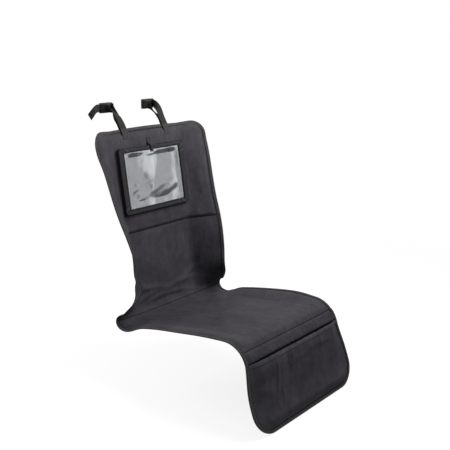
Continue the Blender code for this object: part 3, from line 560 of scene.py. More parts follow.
# Seat panel: thin foam between the woven face and a backing with small rubber dots, which grip
# the cushion. Its sides rise a little towards the front.
SEAT_PAD = 0.0038
SEAT_PULLS = [(-0.150, 0.060, 50, 0.050, 0.011, 0.0016), (0.150, 0.065, -50, 0.050, 0.011, 0.0016),
              (-0.060, 0.040, 15, 0.060, 0.010, 0.0014), (0.080, 0.036, -10, 0.060, 0.010, 0.0014),
              (0.020, 0.440, 3, 0.120, 0.014, 0.0012), (-0.140, 0.400, -38, 0.060, 0.014, 0.0014)]
SEAT_ROWS = panel_rows(0.0, V_FRONT, (PINCH, 12), (PINCH, 12), 118)
u, v = panel_grid(SEAT_ROWS, 139)
to_tape = side_width(v) - np.abs(u) - TAPE_WRAP
to_seam = np.minimum(v, V_FRONT - v)
inside = np.minimum(to_tape, to_seam)
pucker = puckers(0.0008 * wander(140 * v + 60 * u), inside)
uneven = 0.0005 * wander(24 * v + 2) * wander(22 * u) + ridges(u, v, SEAT_PULLS)
rise = SHEET + (SEAT_PAD + uneven) * ease(inside / PINCH) + pucker - seam_dip(to_seam)
seat_pad = laid("seat_pad", u, v, rise, 0.0, FACE_CLOTH, edge_shade(to_tape, to_seam))
line_back(seat_pad)
in_place(seat_pad, "black_polyester", "seat_face", "seat_foam", "seat_grip_backing")

DOT_RADIUS = 0.0016
DOT_RISE = 0.0006
DOT_PITCH = 0.0135


def copies(faces, count, points):
    """The faces of one small form, repeated for count forms of so many points each."""
    return (faces + np.arange(count)[:, None, None] * points).reshape(-1, faces.shape[1])


def domes(name, u, v, radius, depth, finish):
    """Low domes under the seat: rings of six points whose height falls off as one minus r squared."""
    rings = np.array([1.0, 0.6])
    turns = np.arange(6) * pi / 3
    du = np.concatenate([(rings[:, None] * np.cos(turns)).ravel(), [0]]) * radius
    dv = np.concatenate([(rings[:, None] * np.sin(turns)).ravel(), [0]]) * radius
    drop = np.concatenate([(depth * (1 - rings[:, None] ** 2) + 0 * turns).ravel(), [depth]])
    points = on_cover(u[:, None] + du, v[:, None] + dv, -drop + 0 * u[:, None])
    a = np.arange(6)
    b = (a + 1) % 6
    ring = np.vstack([np.stack([a, b, b + 6], -1), np.stack([a, b + 6, a + 6], -1),
                      np.stack([a + 6, b + 6, 0 * a + 12], -1),
                      np.stack([0 * a[1:5], b[1:5], a[1:5]], -1)])
    place = np.stack([(u[:, None] + du).ravel(), (v[:, None] + dv).ravel()], -1)
    return put_mesh(name, points.reshape(-1, 3), copies(ring, len(u), 13), place, finish,
                    np.zeros(len(place)))


def speckled_finish(name, dark, light, scale, detail=3.0, **constants):
    """A finish whose colour wanders from dark to light, with scale specks to a metre."""
    made, tree, shader = new_finish(name, **constants)
    specks = blotches(tree, scale, detail)
    feed(tree, shader, Base_Color=between(tree, specks, dark, light))
    return made, tree, shader, specks


GRIP_RUBBER = speckled_finish("grip_rubber", (0.028, 0.028, 0.029), (0.045, 0.045, 0.046), 400.0,
                              Roughness=0.55)[0]
across, down = np.meshgrid(np.arange(-15, 16) * DOT_PITCH, np.arange(0.024, 0.412, DOT_PITCH))
across = across + (np.arange(len(across))[:, None] % 2) * DOT_PITCH / 2
dots = domes("seat_grip_dots", across.ravel(), down.ravel(), DOT_RADIUS, DOT_RISE, GRIP_RUBBER)
in_place(dots, "grip_backing")


# Front flap: a doubled sheet that hangs over the cushion's front edge. A soft pocket is sewn to
# it along the sides and foot, with a turned hem, and a band hangs just over the pocket's mouth.
FLAP_ROWS = panel_rows(V_FRONT, V_FOOT, (SHEET_EDGE, 8), (FLAP_CORNER, 24), 44)
u, v = panel_grid(FLAP_ROWS, 129)
to_tape = np.minimum(from_side(u, v), V_FOOT - v - TAPE_WRAP)
# Painted shadow on the flap cloth behind the pocket's mouth, seen dark through the slit under the band.
behind_mouth = ease((v - V_MOUTH + 0.016) / 0.012)
flap = laid("front_flap_cloth", u, v, SHEET - seam_dip(v - V_FRONT), 0.0, FACE_CLOTH,
            np.maximum(edge_shade(to_tape, v - V_FRONT), behind_mouth))
line_back(flap)
in_place(flap, "black_polyester", "front_flap")

CLOTH = 0.0008
GAP = 0.0003
SEAM_MARGIN = 0.003
HEM_HEIGHT = 0.011
HEM_LIP = 0.0012
HEM_THICKNESS = 0.0019
MOUTH_GAP = 0.005
BAND_HEIGHT = 0.022
BAND_THICKNESS = 0.0012
BAND_LIFT = 0.0022
POCKET_SAG = {-0.06: 0.0092, 0.06: 0.0140, 0.30: 0.0084, 0.62: 0.0022, 0.94: 0.0088, 1.06: 0.0086}
POCKET_FOLDS = [(-0.115, 0.020, 0.00198), (-0.060, 0.018, -0.00198), (0.000, 0.022, 0.0011),
                (0.100, 0.020, 0.00176)]
POCKET_CREASES = [(-0.120, 0.597, 101, 0.058, 0.0045, 0.0030), (-0.106, 0.600, 100, 0.040, 0.0060, -0.0018),
                  (-0.104, 0.645, 96, 0.018, 0.0040, 0.0016), (-0.040, 0.560, 104, 0.026, 0.0055, 0.0024),
                  (-0.062, 0.560, 100, 0.036, 0.0120, -0.0022), (0.103, 0.556, 94, 0.024, 0.0055, 0.0026),
                  (-0.152, 0.634, 98, 0.030, 0.0060, 0.0012), (0.130, 0.560, 10, 0.060, 0.0100, 0.0026),
                  (-0.010, 0.566, -4, 0.050, 0.0090, 0.0020), (-0.190, 0.605, 12, 0.050, 0.0120, 0.0020),
                  (0.120, 0.706, -2, 0.110, 0.0180, 0.0070), (-0.190, 0.690, 30, 0.040, 0.0120, 0.0018)]


def pocket_height(u, v):
    """The pocket off the flap: held at its sides and foot, standing out at the hem and again low down.

    Long soft folds, each (u, width, height), and short creases run down it, and it puckers beside the tape.
    """
    beside = from_side(u, v) - SEAM_MARGIN
    above = V_FOOT - v - TAPE_WRAP - SEAM_MARGIN
    inside = np.minimum(beside, above)
    held = ease(beside / 0.046) * ease(above / 0.026)
    down = (v - V_MOUTH) / (V_FOOT - V_MOUTH)
    sag = through(down + 0.2 * u, POCKET_SAG)
    folds = sum(size * bell(u - at - 0.02 * down, width) for at, width, size in POCKET_FOLDS)
    fine = ridges(u, v, POCKET_CREASES) * ease((v - V_MOUTH - 0.002) / 0.02)
    pucker = puckers(0.0007 * wander(170 * u + 120 * v), inside, 0.006, 0.007)
    return SHEET + GAP + CLOTH / 2 + held * (sag + folds * (1 - 0.8 * down) + fine) + pucker


def even_grid(rows, columns):
    """u and v at equal shares of the half width on each row."""
    return outline(rows)[:, None] * np.linspace(-1, 1, columns), np.repeat(rows[:, None], columns, axis=1)


def slack_mouth(u, v):
    """v let down by up to 0.8 mm where the pocket's mouth sags between its sewn ends."""
    near = ease((V_FOOT - v) / (V_FOOT - V_MOUTH))
    return v + 0.0008 * near**4 * np.clip(1 - (u / 0.205) ** 2, 0, 1)


POCKET_ROWS = np.concatenate([np.linspace(V_MOUTH, V_FOOT - FLAP_CORNER, 40)[:-1], FLAP_ROWS[-24:]])
u, v = even_grid(POCKET_ROWS, 179)
v = slack_mouth(u, v)
height = pocket_height(u, v) - 0.0007 * bell(v - slack_mouth(u, V_MOUTH + HEM_HEIGHT), 0.0022)
to_tape = np.minimum(from_side(u, v), V_FOOT - v - TAPE_WRAP)
pocket = laid("front_pocket_cloth", u, v, height + CLOTH / 2, height - CLOTH / 2, FACE_CLOTH,
              bell(to_tape, TAPE_SHADE))
in_place(pocket, "black_polyester", "front_pocket")

# The hem is a lighter copy of the face cloth: painted highlight for the light its rounded fold catches; its
# stronger fleck is the cloth's grain.
HEM_CLOTH = woven_finish("hem_weave", (0.036, 0.034, 0.040), (0.105, 0.098, 0.112), 0.0006, 0.70, 0.5, 0.9)
hem_rows = V_MOUTH - HEM_LIP + (HEM_HEIGHT + 0.0004) * (1 - np.cos(np.linspace(0, pi, 13))) / 2
u, v = even_grid(hem_rows, 139)
u, v = u[:, 3:-3], v[:, 3:-3]
across_hem = (v - hem_rows[0]) / (hem_rows[-1] - hem_rows[0])
v = slack_mouth(u, v)
thick = HEM_THICKNESS * np.sqrt(np.maximum(1 - (1.4 * across_hem - 0.4) ** 2, 0.03))
base = pocket_height(u, v) + CLOTH / 2 + 0.0001
hem = laid("front_pocket_hem_fold", u, v, base + thick, base, HEM_CLOTH)
in_place(hem, "black_polyester", "front_pocket_hem")

# The band is a darker copy of the face cloth: painted shade holding down the light its upward-facing strip
# catches; its stronger fleck is the cloth's grain.
BAND_CLOTH = woven_finish("band_weave", (0.016, 0.015, 0.018), (0.066, 0.062, 0.071), 0.0009, 0.70, 0.7, 1.5)
BAND_DENT = -0.018
band_rows = np.linspace(V_MOUTH - MOUTH_GAP - BAND_HEIGHT, V_MOUTH - MOUTH_GAP, 14)
u, v = even_grid(band_rows, 139)
down = (v - band_rows[0]) / BAND_HEIGHT
side = ease(from_side(u, v) / 0.04)
ripple = 0.0012 * wander(48 * u + 2) * down + 0.0009 * wander(110 * u + 9) * down**2
dent = -0.0030 * bell(u - BAND_DENT - 0.01 * (1 - down), 0.007) * down
lift = np.maximum(BAND_LIFT * ease(down) * 1.3 + ripple + dent, -0.0001)
height = SHEET + GAP + side * lift
band = laid("front_band_cloth", u, v, height + BAND_THICKNESS, height, BAND_CLOTH)
in_place(band, "black_polyester", "front_hem_band")
cut_area(FLAP_ROWS)
cut_area(POCKET_ROWS)


# Edge tape: a ribbed woven tape folded over every raw edge and sewn through. One length goes
# round the upper back, one round the flap, and one down each side between them.
TAPE = 0.0007


def ribbed_finish(name, dark, light, rib, roughness):
    """Ribbed tape: fine bars across its length from a sine of v, with uneven threads."""
    made, tree, shader = new_finish(name, Specular_IOR_Level=0.08)
    bars = (cloth_place(tree)[1] * (2 * pi / rib)).maths("SINE") * 0.5 + 0.5
    slub = blotches(tree, 700.0, 1.0)
    tone = bars * 0.45 + slub * 0.25 + blotches(tree, 14.0) * 0.3
    # Base colour darkened by painted shade in the crevices beside seams and tapes.
    feed(tree, shader, Base_Color=painted_crevice_shade(tree, between(tree, tone, dark, light)),
         Roughness=slub * 0.1 + (roughness - 0.05),
         Normal=bumps(tree, bars + slub * 0.3, 0.7, rib * 0.3))
    return made


TAPE_CLOTH = ribbed_finish("edge_tape", (0.018, 0.018, 0.019), (0.105, 0.102, 0.106), 0.0042, 0.68)


def outward(u, v):
    """Unit directions in u and v a quarter turn from an edge path's own direction, outward on the cover."""
    leg_u, leg_v = np.gradient(u), np.gradient(v)
    size = np.hypot(leg_u, leg_v)
    return -leg_v / size, leg_u / size


def run_along(line):
    """Length run along a line up to each of its points."""
    return np.concatenate([[0], np.cumsum(np.linalg.norm(np.diff(line, axis=0), axis=1))])


def edge_tape(name, u, v, stack, node):
    """A U-shaped tape: its section goes in along the back, round the edge in a half circle, and in again."""
    out_u, out_v = outward(u, v)
    mid, turn = stack / 2, np.linspace(-pi / 2, pi / 2, 9)
    sections = []
    for reach in (GAP + TAPE, GAP):
        low = np.stack([np.linspace(-TAPE_WRAP, 0, 5)[:-1], np.full(4, -reach)], -1)
        bow = np.stack([(mid + reach) * 0.75 * np.cos(turn), mid + (mid + reach) * np.sin(turn)], -1)
        high = np.stack([-np.linspace(0, TAPE_WRAP, 5)[1:], np.full(4, stack + reach)], -1)
        sections.append(np.vstack([low, bow, high]))
    length = run_along(np.stack([u, v], -1))[:, None]
    wave = 0.00018 * wander(length * 420)
    grids = []
    for section in sections:
        at_u = u[:, None] + out_u[:, None] * section[:, 0]
        at_v = v[:, None] + out_v[:, None] * section[:, 0]
        end = ease(-section[:, 0] / TAPE_WRAP)
        grids.append(on_cover(at_u, at_v, section[:, 1] + wave * end))
    girth = run_along(sections[0])
    to_end = np.minimum(girth, girth[-1] - girth)
    # Painted shade along the tape's two inner edges, where it meets the cover.
    made = shell(name, *grids, girth, length, TAPE_CLOTH, bell(to_end, SEAM_SHADE) * 0.7)
    in_place(made, "binding_tape", node)


def round_end(rows, first):
    """The path up one side of a panel, across its rounded end, and down the other side."""
    order = -1 if first else 1
    return [np.concatenate([side[::order, -1], side[::order][-1, -2:0:-1], side[::order, 0][::-1]])
            for side in panel_grid(rows, 121)]


side_rows = np.concatenate([LOWER_ROWS, SEAT_ROWS[1:]])
TAPES = {
    "upper_back_{}": (round_end(UPPER_ROWS, True), SHEET),
    "flap_{}": ([path[::-1] for path in round_end(FLAP_ROWS, False)], SHEET + GAP + BAND_THICKNESS),
    "side_{}_right": ([outline(side_rows)[::-1], side_rows[::-1]], SHEET),
    "side_{}_left": ([-outline(side_rows), side_rows], SHEET),
}
for name, (path, stack) in TAPES.items():
    edge_tape(name.format("tape"), *path, stack, name.format("binding"))


# Stitching: rows of lockstitch in black thread through the tape, the seams, the hem and the band.
THREAD = 0.00032
STITCH = 0.0032

BLACK_THREAD = speckled_finish("black_thread", (0.012, 0.012, 0.013), (0.030, 0.029, 0.031), 2500.0, 1.0,
                               Roughness=0.55, Sheen_Weight=0.1)[0]


def stitch_row(name, line, up, slot="binding_tape"):
    """Short beads set end to end along a line: each ring's radius and height follow a half sine."""
    length = run_along(line)
    starts = np.arange(0, length[-1] - STITCH, STITCH)
    share = np.array([0.08, 0.3, 0.6, 0.82])
    at = (starts[:, None] + share * STITCH).ravel()
    centre, normal, ahead = [np.stack([np.interp(place, length, row) for row in path.T], -1)
                             for place, path in ((at, line), (at, up), (at + 1e-4, line))]
    normal = unit(normal)
    beside = unit(np.cross(normal, ahead - centre))
    swell = np.tile(np.sin(pi * (share + 0.05)), len(starts))[:, None]
    turns = np.array([0.25, 0.75, 1.25, 1.75]) * pi
    ring = (centre + normal * THREAD * swell * 0.5)[:, None]
    ring = ring + beside[:, None] * (THREAD * 0.9 * swell[:, None] * np.cos(turns)[:, None])
    ring = ring + normal[:, None] * (THREAD * 0.7 * swell[:, None] * np.sin(turns)[:, None])
    a = np.arange(4)
    b = (a + 1) % 4
    walls = [np.stack([a, b, b + 4, a + 4], -1) + 4 * k for k in range(3)]
    one = np.vstack([*walls, [[3, 2, 1, 0]], [[12, 13, 14, 15]]])
    points = ring.reshape(-1, 3)
    flat = np.zeros((len(points), 2))
    beads = put_mesh(name, points, copies(one, len(starts), 16), flat, BLACK_THREAD, flat[:, 0])
    in_place(beads, slot)


def sewn_line(u, v, h):
    """A line at height h on the cover, and the cover's normals along it."""
    line = on_cover(u, v, h)
    return line, on_cover(u, v, h + 0.001) - line


def tape_stitches(name, u, v, stack):
    """The row along a tape, 2 mm in from its inner edge, on its face."""
    out_u, out_v = outward(u, v)
    inner = TAPE_WRAP - 0.002
    stitch_row(name, *sewn_line(u - out_u * inner, v - out_v * inner, stack + GAP + TAPE))


for name, (path, stack) in TAPES.items():
    tape_stitches(name.format("stitches"), *path, stack)

SEAM_INSET = 0.0055
shares = np.linspace(-1, 1, 161)
back_u, front_u, hem_u = shares * (BACK_HALF_WIDTH - 0.012), shares * 0.212, shares * 0.205
hem_v = slack_mouth(hem_u, V_MOUTH + HEM_HEIGHT - 0.0020)
for word, row_u, row_v, level in (
    ("upper_seam", back_u, V_SEAM - SEAM_INSET, back_rise(back_u, V_SEAM - SEAM_INSET)),
    ("front_seam", front_u, V_FRONT - SEAM_INSET, SHEET + SEAT_PAD * ease(SEAM_INSET / PINCH)),
    ("hem", hem_u, hem_v, pocket_height(hem_u, hem_v) + CLOTH / 2 + 0.0010),
    ("band", front_u, band_rows[0] + 0.003, SHEET + GAP + BAND_THICKNESS),
):
    stitch_row(f"{word}_stitches", *sewn_line(row_u, row_v, level), slot="black_polyester")


# Tablet pocket: a ribbed border round a clear film, held off the back by a narrow cloth wall down
# the sides and along the foot. The head stays open, closed by a small pointed tab.
POCKET_HALF_WIDTH = 0.143
POCKET_HEIGHT = 0.208
POCKET_DEPTH = 0.0105
POCKET_CORNER = 0.004
FRAME_SIDE = 0.022
FRAME_END = 0.016
FRAME_THICKNESS = 0.0016
WALL_INSET = 0.0016
WALL_CLOTH = 0.0010
FILM = 0.0004
FILM_LAP = 0.008
FACE_HEIGHT = SHEET + BACK_PAD
FRAME_HEIGHT = FACE_HEIGHT + POCKET_DEPTH
V_POCKET = V_POCKET_FOOT - POCKET_HEIGHT / 2
ARC_STEPS = 6
STRAIGHT_STEPS = 40


def on_pocket(x, y, h):
    """Points of the pocket, x across, y up from its middle and h off the seat: a plane on the back."""
    x, y, h = np.broadcast_arrays(x, y, h)
    on_flat = np.clip(x, -BACK_FOLD, BACK_FOLD)
    return on_cover(on_flat, V_POCKET - y, h) + np.stack([x - on_flat, 0 * x, 0 * x], -1)


def rounded_ring(inset):
    """The pocket's rounded outline, so far in from its edge, anticlockwise: an arc and a straight in turn."""
    half_width, half_height = POCKET_HALF_WIDTH - inset[0], POCKET_HEIGHT / 2 - inset[1]
    arcs, turn = [], np.linspace(0, pi / 2, ARC_STEPS + 1)[:, None]
    for quarter, way in enumerate([(1, 1), (-1, 1), (-1, -1), (1, -1)]):
        middle = np.multiply(way, (half_width - POCKET_CORNER, half_height - POCKET_CORNER))
        round_it = np.hstack([np.cos(turn + quarter * pi / 2), np.sin(turn + quarter * pi / 2)])
        arcs.append(middle + POCKET_CORNER * round_it)
    share = np.linspace(0, 1, STRAIGHT_STEPS, endpoint=False)[:, None]
    return np.vstack([np.vstack([arc[:-1], arc[-1] + (after[0] - arc[-1]) * share])
                      for arc, after in zip(arcs, arcs[1:] + arcs[:1])])


def pocket_border():
    """The border: outline rings from the outer edge to the inner one, its height a flat-topped arch."""
    outer, inner = rounded_ring((0, 0)), rounded_ring((FRAME_SIDE, FRAME_END))
    share = np.array([0, 0.03, 0.08, 0.16, 0.3, 0.5, 0.7, 0.84, 0.92, 0.97, 1.0])
    seam = bell(share - 0.16, 0.03) + bell(share - 0.86, 0.03)
    arch = FRAME_THICKNESS * (1 - (2 * share - 1) ** 8 * 0.55) - 0.0003 * seam
    outer, inner = np.vstack([outer, outer[:1]]), np.vstack([inner, inner[:1]])
    ring = outer[:, None] * (1 - share[:, None]) + inner[:, None] * share[:, None]
    length = run_along(outer)[:, None]
    wave = 0.0005 * wander(60 * length) * np.sin(pi * share) + 0.0002 * wander(300 * length)
    top = on_pocket(ring[..., 0], ring[..., 1], FRAME_HEIGHT + arch + wave)
    bottom = on_pocket(ring[..., 0], ring[..., 1], FRAME_HEIGHT + 0.0 * share)
    return top, bottom, share * FRAME_SIDE, length[::-1], ring


BORDER_CLOTH = ribbed_finish("pocket_border_tape", (0.010, 0.010, 0.011), (0.066, 0.063, 0.068),
                             0.0042, 0.68)
top, bottom, span, run, ring = pocket_border()
# Painted shade along the border's outer edge and along its inner edge by the film.
edges_shade = np.minimum(bell(FRAME_SIDE - span, 0.005) + bell(span, TAPE_SHADE), 1)
border = shell("tablet_pocket_border", top, bottom, span, run, BORDER_CLOTH, edges_shade, ring=True)
in_place(border, "black_polyester", "tablet_pocket_frame")

for word, share in (("outer", 0.10), ("inner", 0.90)):
    x, y = (ring[:, 0] * (1 - share) + ring[:, -1] * share).T
    line = on_pocket(x, y, FRAME_HEIGHT + FRAME_THICKNESS - 0.0002)
    raised = on_pocket(x, y, FRAME_HEIGHT + 0.01)
    stitch_row(f"pocket_stitches_{word}", line, raised - line, slot="black_polyester")


def pocket_wall():
    """The wall: one strip down a side, along the foot and up the other, bowed in by a low sine."""
    quarter = ARC_STEPS + STRAIGHT_STEPS
    path = rounded_ring((WALL_INSET, WALL_INSET))[quarter:3 * quarter + ARC_STEPS + 1]
    head = POCKET_HEIGHT / 2
    path = np.vstack([[path[0, 0], head], path, [path[-1, 0], head]])
    level = np.linspace(0, 1, 9)
    inward = np.stack(outward(*path.T), -1)[:, None]
    length = run_along(path)[:, None]
    bow = (0.0011 + 0.0004 * wander(90 * length)) * np.sin(pi * level)
    grids = []
    for depth in (WALL_CLOTH, 0.0):
        at = path[:, None] + inward * (bow - depth)[..., None]
        height = FACE_HEIGHT - 0.0002 + level * (POCKET_DEPTH + 0.0001)
        grids.append(on_pocket(at[..., 0], at[..., 1], height))
    return *grids, level * POCKET_DEPTH, length


wall = shell("tablet_pocket_wall", *pocket_wall(), FACE_CLOTH)
in_place(wall, "black_polyester", "tablet_pocket_gusset")

clear_film, tree, shader = new_finish("clear_film", Base_Color=(0.92, 0.94, 0.96, 1), Roughness=0.07,
                                      Metallic=1.0)
glance = add_node(tree, "Fresnel", {}, {"IOR": 1.5})[0]
# Painted reflection: slanting streaks where the white, mirror-like film turns more opaque, standing for glare
# across it.
glare = (streaks(tree, 15.0, 5.0, 2.0, turn=radians(28)) * 5.4 - 2.6).clamped()
feed(tree, shader, Alpha=glance * 0.45 + glare * 0.62 + 0.004)
half_x, half_y = POCKET_HALF_WIDTH - FRAME_SIDE, POCKET_HEIGHT / 2 - FRAME_END
x, y = np.meshgrid(np.linspace(-1, 1, 97) * (half_x + FILM_LAP), np.linspace(1, -1, 73) * (half_y + FILM_LAP))
slack = ease((half_x - np.abs(x)) / 0.03) * ease((half_y - np.abs(y)) / 0.02)
billow = 0.0007 * wander(38 * x + 14 * y) + 0.0005 * wander(55 * y + 3 - 20 * x) - 0.0012
film_h = FRAME_HEIGHT - FILM + slack * billow
film = shell("tablet_window_film", on_pocket(x, y, film_h), on_pocket(x, y, film_h - FILM),
             x, -y, clear_film)
in_place(film, "clear_film", "tablet_window")


def ribbon(name, centre, widths, half_width, thickness, finish):
    """A flat band: its section is a thin rounded bar, carried along the centre line across the widths."""
    normal = unit(np.cross(np.gradient(centre, axis=0), widths))
    share = np.linspace(-1, 1, 11)
    span = np.broadcast_to(half_width, len(centre))[:, None] * share
    middle = centre[:, None] + widths[:, None] * span[..., None]
    offset = normal[:, None] * (thickness / 2 * (1 - 0.6 * share**10))[:, None]
    return shell(name, middle + offset, middle - offset, span, run_along(centre)[:, None], finish)


def smooth_path(points, between_points):
    """A curve through the points, by their distances, with so many steps between each pair."""
    points = np.asarray(points, float)
    knots = run_along(points[:, :3])
    steps = [np.linspace(a, b, between_points, endpoint=False) for a, b in zip(knots[:-1], knots[1:])]
    at = np.concatenate([*steps, [knots[-1]]])
    return np.stack([through(at, dict(zip(knots, values))) for values in points.T], axis=-1)


TAB_WIDTH = 0.018
PATCH_THICKNESS = 0.0010
head = V_POCKET_HEAD
front = FRAME_HEIGHT + FRAME_THICKNESS + GAP * 2 + PATCH_THICKNESS + CLOTH
sewn = FACE_HEIGHT + GAP + CLOTH
route = smooth_path([(head - 0.022, sewn), (head - 0.014, sewn), (head - 0.006, sewn + 0.003),
                     (head - 0.002, (sewn + front) / 2 + 0.002), (head + 0.001, front + 0.001),
                     (head + 0.008, front), (head + 0.024, front)], 8)
line = on_cover(0.0, *route.T)[::-1]
taper = np.clip(np.linspace(0.25, 3.2, len(line)), 0, 1)
tab = ribbon("pocket_tab_cloth", line, np.tile([1.0, 0, 0], (len(line), 1)), taper * TAB_WIDTH / 2,
             2 * CLOTH, BORDER_CLOTH)
in_place(tab, "black_polyester", "pocket_tab")


def dress(node, finish):
    """Gives a solid that is kept as it is its finish."""
    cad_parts[node].data.materials.clear()
    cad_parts[node].data.materials.append(finish)


hook_tape, tree, shader, hooks = speckled_finish("hook_tape", (0.018, 0.018, 0.019), (0.050, 0.050, 0.052),
                                                 1800.0, 2.0, Roughness=0.9)
feed(tree, shader, Normal=bumps(tree, hooks, 0.9, 0.0006))
dress("tab_patch", hook_tape)


# Headrest straps: flat black webbing sewn to the top edge front and back. The two legs of each
# go up past a headrest post and meet behind it in a side-release buckle; the left one's free end hangs.
STRAP_WIDTH = 0.025
STRAP_THICKNESS = 0.0014
STRAP_OFFSET = 0.091
STRAP_LAP = 0.032
POST_BACK = 0.056
POST_RISE = 0.062
LOOP_REACH = 0.024
RETURN_DROP = 0.015
BUCKLE_LEAD = 0.006
RIB_PITCH = 0.0021
PICK_PITCH = 0.0012
PALE_LAP_END = 0.036
BUCKLE_BACK = POST_BACK + 0.018
BAR_WRAP = 0.0015 + GAP + STRAP_THICKNESS / 2


def webbing_finish():
    """Webbing: ribs along its length from a sine of u, crossed by slanting picks, with a soft fleck.

    The first stretch, where it lies on the panel, is paler.
    """
    made, tree, shader = new_finish("strap_webbing", Specular_IOR_Level=0.08)
    u, v = cloth_place(tree)
    ribs = (u * (2 * pi / RIB_PITCH)).maths("SINE") * 0.5 + 0.5
    picks = (v * (2 * pi / PICK_PITCH) + u.maths("ABSOLUTE") * 1800.0).maths("SINE") * 0.5 + 0.5
    fleck = blotches(tree, 1100.0, 1.0)
    tone = ribs * 0.4 + picks * 0.35 + fleck * 0.25
    plain = between(tree, tone, (0.010, 0.010, 0.009), (0.050, 0.050, 0.043))
    pale_lap = between(tree, tone, (0.030, 0.029, 0.030), (0.078, 0.075, 0.078))
    on_panel = ((PALE_LAP_END - v) * 160.0).clamped()
    feed(tree, shader, Base_Color=between(tree, on_panel, plain, pale_lap), Roughness=fleck * 0.12 + 0.62,
         Normal=bumps(tree, ribs + picks * 0.6, 0.8, 0.0004))
    return made


WEBBING = webbing_finish()


def from_edge(side, points):
    """Maps points given outward, back and up from the place on the top edge where a strap springs."""
    foot = on_cover(side * STRAP_OFFSET, V_TOP, 0.0)
    return foot + np.multiply(points, [side, 1, 1])


def hairpin(reach):
    """The turn of webbing round a buckle's bar: a half circle in plan, ending on the post's side."""
    outside = np.sign(reach)
    turns = np.linspace(0, pi, 5)
    turn_points = [(a, b, POST_RISE) for a, b in zip(reach + outside * BAR_WRAP * np.cos(turns),
                                                     BUCKLE_BACK + BAR_WRAP * np.sin(turns))]
    return turn_points + [(reach - outside * BAR_WRAP, BUCKLE_BACK - BUCKLE_LEAD, POST_RISE)]


def strap(name, points, degrees, lean, node):
    """Webbing through the points; at each of them its width is turned so far from across to upright."""
    path = smooth_path(np.column_stack([points, np.radians(degrees)]), 9)
    twist = path[:, 3]
    widths = np.stack([np.cos(twist), 0 * twist, lean * np.sin(twist)], axis=-1)
    made = ribbon(name, path[:, :3], widths, STRAP_WIDTH / 2, STRAP_THICKNESS, WEBBING)
    in_place(made, "webbing", node)


def strap_leg(name, side, outside, lap_height, lap_end, node):
    """One leg: flat on the panel, turning upright past the post, then round the buckle's bar."""
    arch = TOP_ARCH * (STRAP_OFFSET / BACK_HALF_WIDTH) ** 2
    lap_v = V_TOP + arch + np.array([STRAP_LAP, STRAP_LAP / 2, 0.001])
    lap = on_cover(side * STRAP_OFFSET, lap_v, np.array([lap_height, lap_height, lap_end]))
    drop, back = (0.0, 0.0) if outside > 0 else (RETURN_DROP, 0.0035)
    reach = outside * LOOP_REACH
    free = [(0.000, POST_BACK * 0.14 + back, 0.40 * POST_RISE - drop * 0.6),
            (reach * 0.13, POST_BACK * 0.40 + back, 0.74 * POST_RISE - drop),
            (reach * 0.29, POST_BACK * 0.70, 0.94 * POST_RISE - drop),
            (reach * 0.50, POST_BACK * 0.96, POST_RISE - drop * 0.2),
            (reach + outside * BAR_WRAP * 0.86, BUCKLE_BACK - BUCKLE_LEAD, POST_RISE)]
    points = np.vstack([lap, from_edge(side, free + hairpin(reach))])
    strap(name, points, [0, 0, 0, 4, 22, 55, 84] + [90] * 7, outside * side, node)


FRONT_LAP = FACE_HEIGHT + GAP + STRAP_THICKNESS / 2
BACK_LAP = -GAP - TAPE - GAP - STRAP_THICKNESS / 2
for side, word in ((-1, "left"), (1, "right")):
    strap_leg(f"strap_webbing_{word}", side, 1, FRONT_LAP, FRONT_LAP - 0.0014, f"strap_{word}")
    strap_leg(f"return_webbing_{word}", side, -1, BACK_LAP, BACK_LAP - 0.0004, f"strap_return_{word}")
    box_u = side * STRAP_OFFSET + 0.0095 * np.array([-1, 1, 1, -1, -1, 1, -1, 1])
    low, high = V_TOP + 0.0105, V_TOP + 0.0295
    box_v = np.array([low, low, high, high, low, high, high, low])
    legs = np.linspace(0, 7, 141)
    sewn_u, sewn_v = [np.interp(legs, np.arange(8), box) for box in (box_u, box_v)]
    stitch_row(f"strap_box_stitches_{word}", *sewn_line(sewn_u, sewn_v, FRONT_LAP + STRAP_THICKNESS / 2),
               slot="webbing")

beside = LOOP_REACH + BAR_WRAP + STRAP_THICKNESS + GAP * 2
tail_start = [(beside, BUCKLE_BACK - 0.004, POST_RISE), (beside, BUCKLE_BACK + 0.002, POST_RISE)]
left_tail = [(0.027, BUCKLE_BACK + 0.012, POST_RISE - 0.002), (0.020, BUCKLE_BACK + 0.030, POST_RISE - 0.009),
             (0.010, BUCKLE_BACK + 0.055, POST_RISE - 0.022), (0.002, BUCKLE_BACK + 0.078, POST_RISE - 0.036)]
right_tail = [(0.0265, BUCKLE_BACK + 0.0062, POST_RISE), (0.018, BUCKLE_BACK + 0.0085, POST_RISE),
              (0.004, BUCKLE_BACK + 0.0075, POST_RISE), (-0.010, BUCKLE_BACK + 0.0072, POST_RISE)]
strap("tail_webbing_left", from_edge(-1, tail_start + left_tail), [90, 90, 86, 78, 66, 56], -1,
      "strap_tail_left")
strap("tail_webbing_right", from_edge(1, tail_start + right_tail), [90] * 6, 1, "strap_tail_right")

buckle_plastic, tree, shader, scuff = speckled_finish("buckle_plastic", (0.016, 0.016, 0.017),
                                                      (0.030, 0.030, 0.032), 60.0)
feed(tree, shader, Roughness=scuff * 0.15 + 0.36,
     Normal=bumps(tree, blotches(tree, 1500.0, 2.0), 0.4, 0.0002))
for word in ("socket_left", "socket_right", "plug_left", "plug_right"):
    dress(f"buckle_{word}", buckle_plastic)


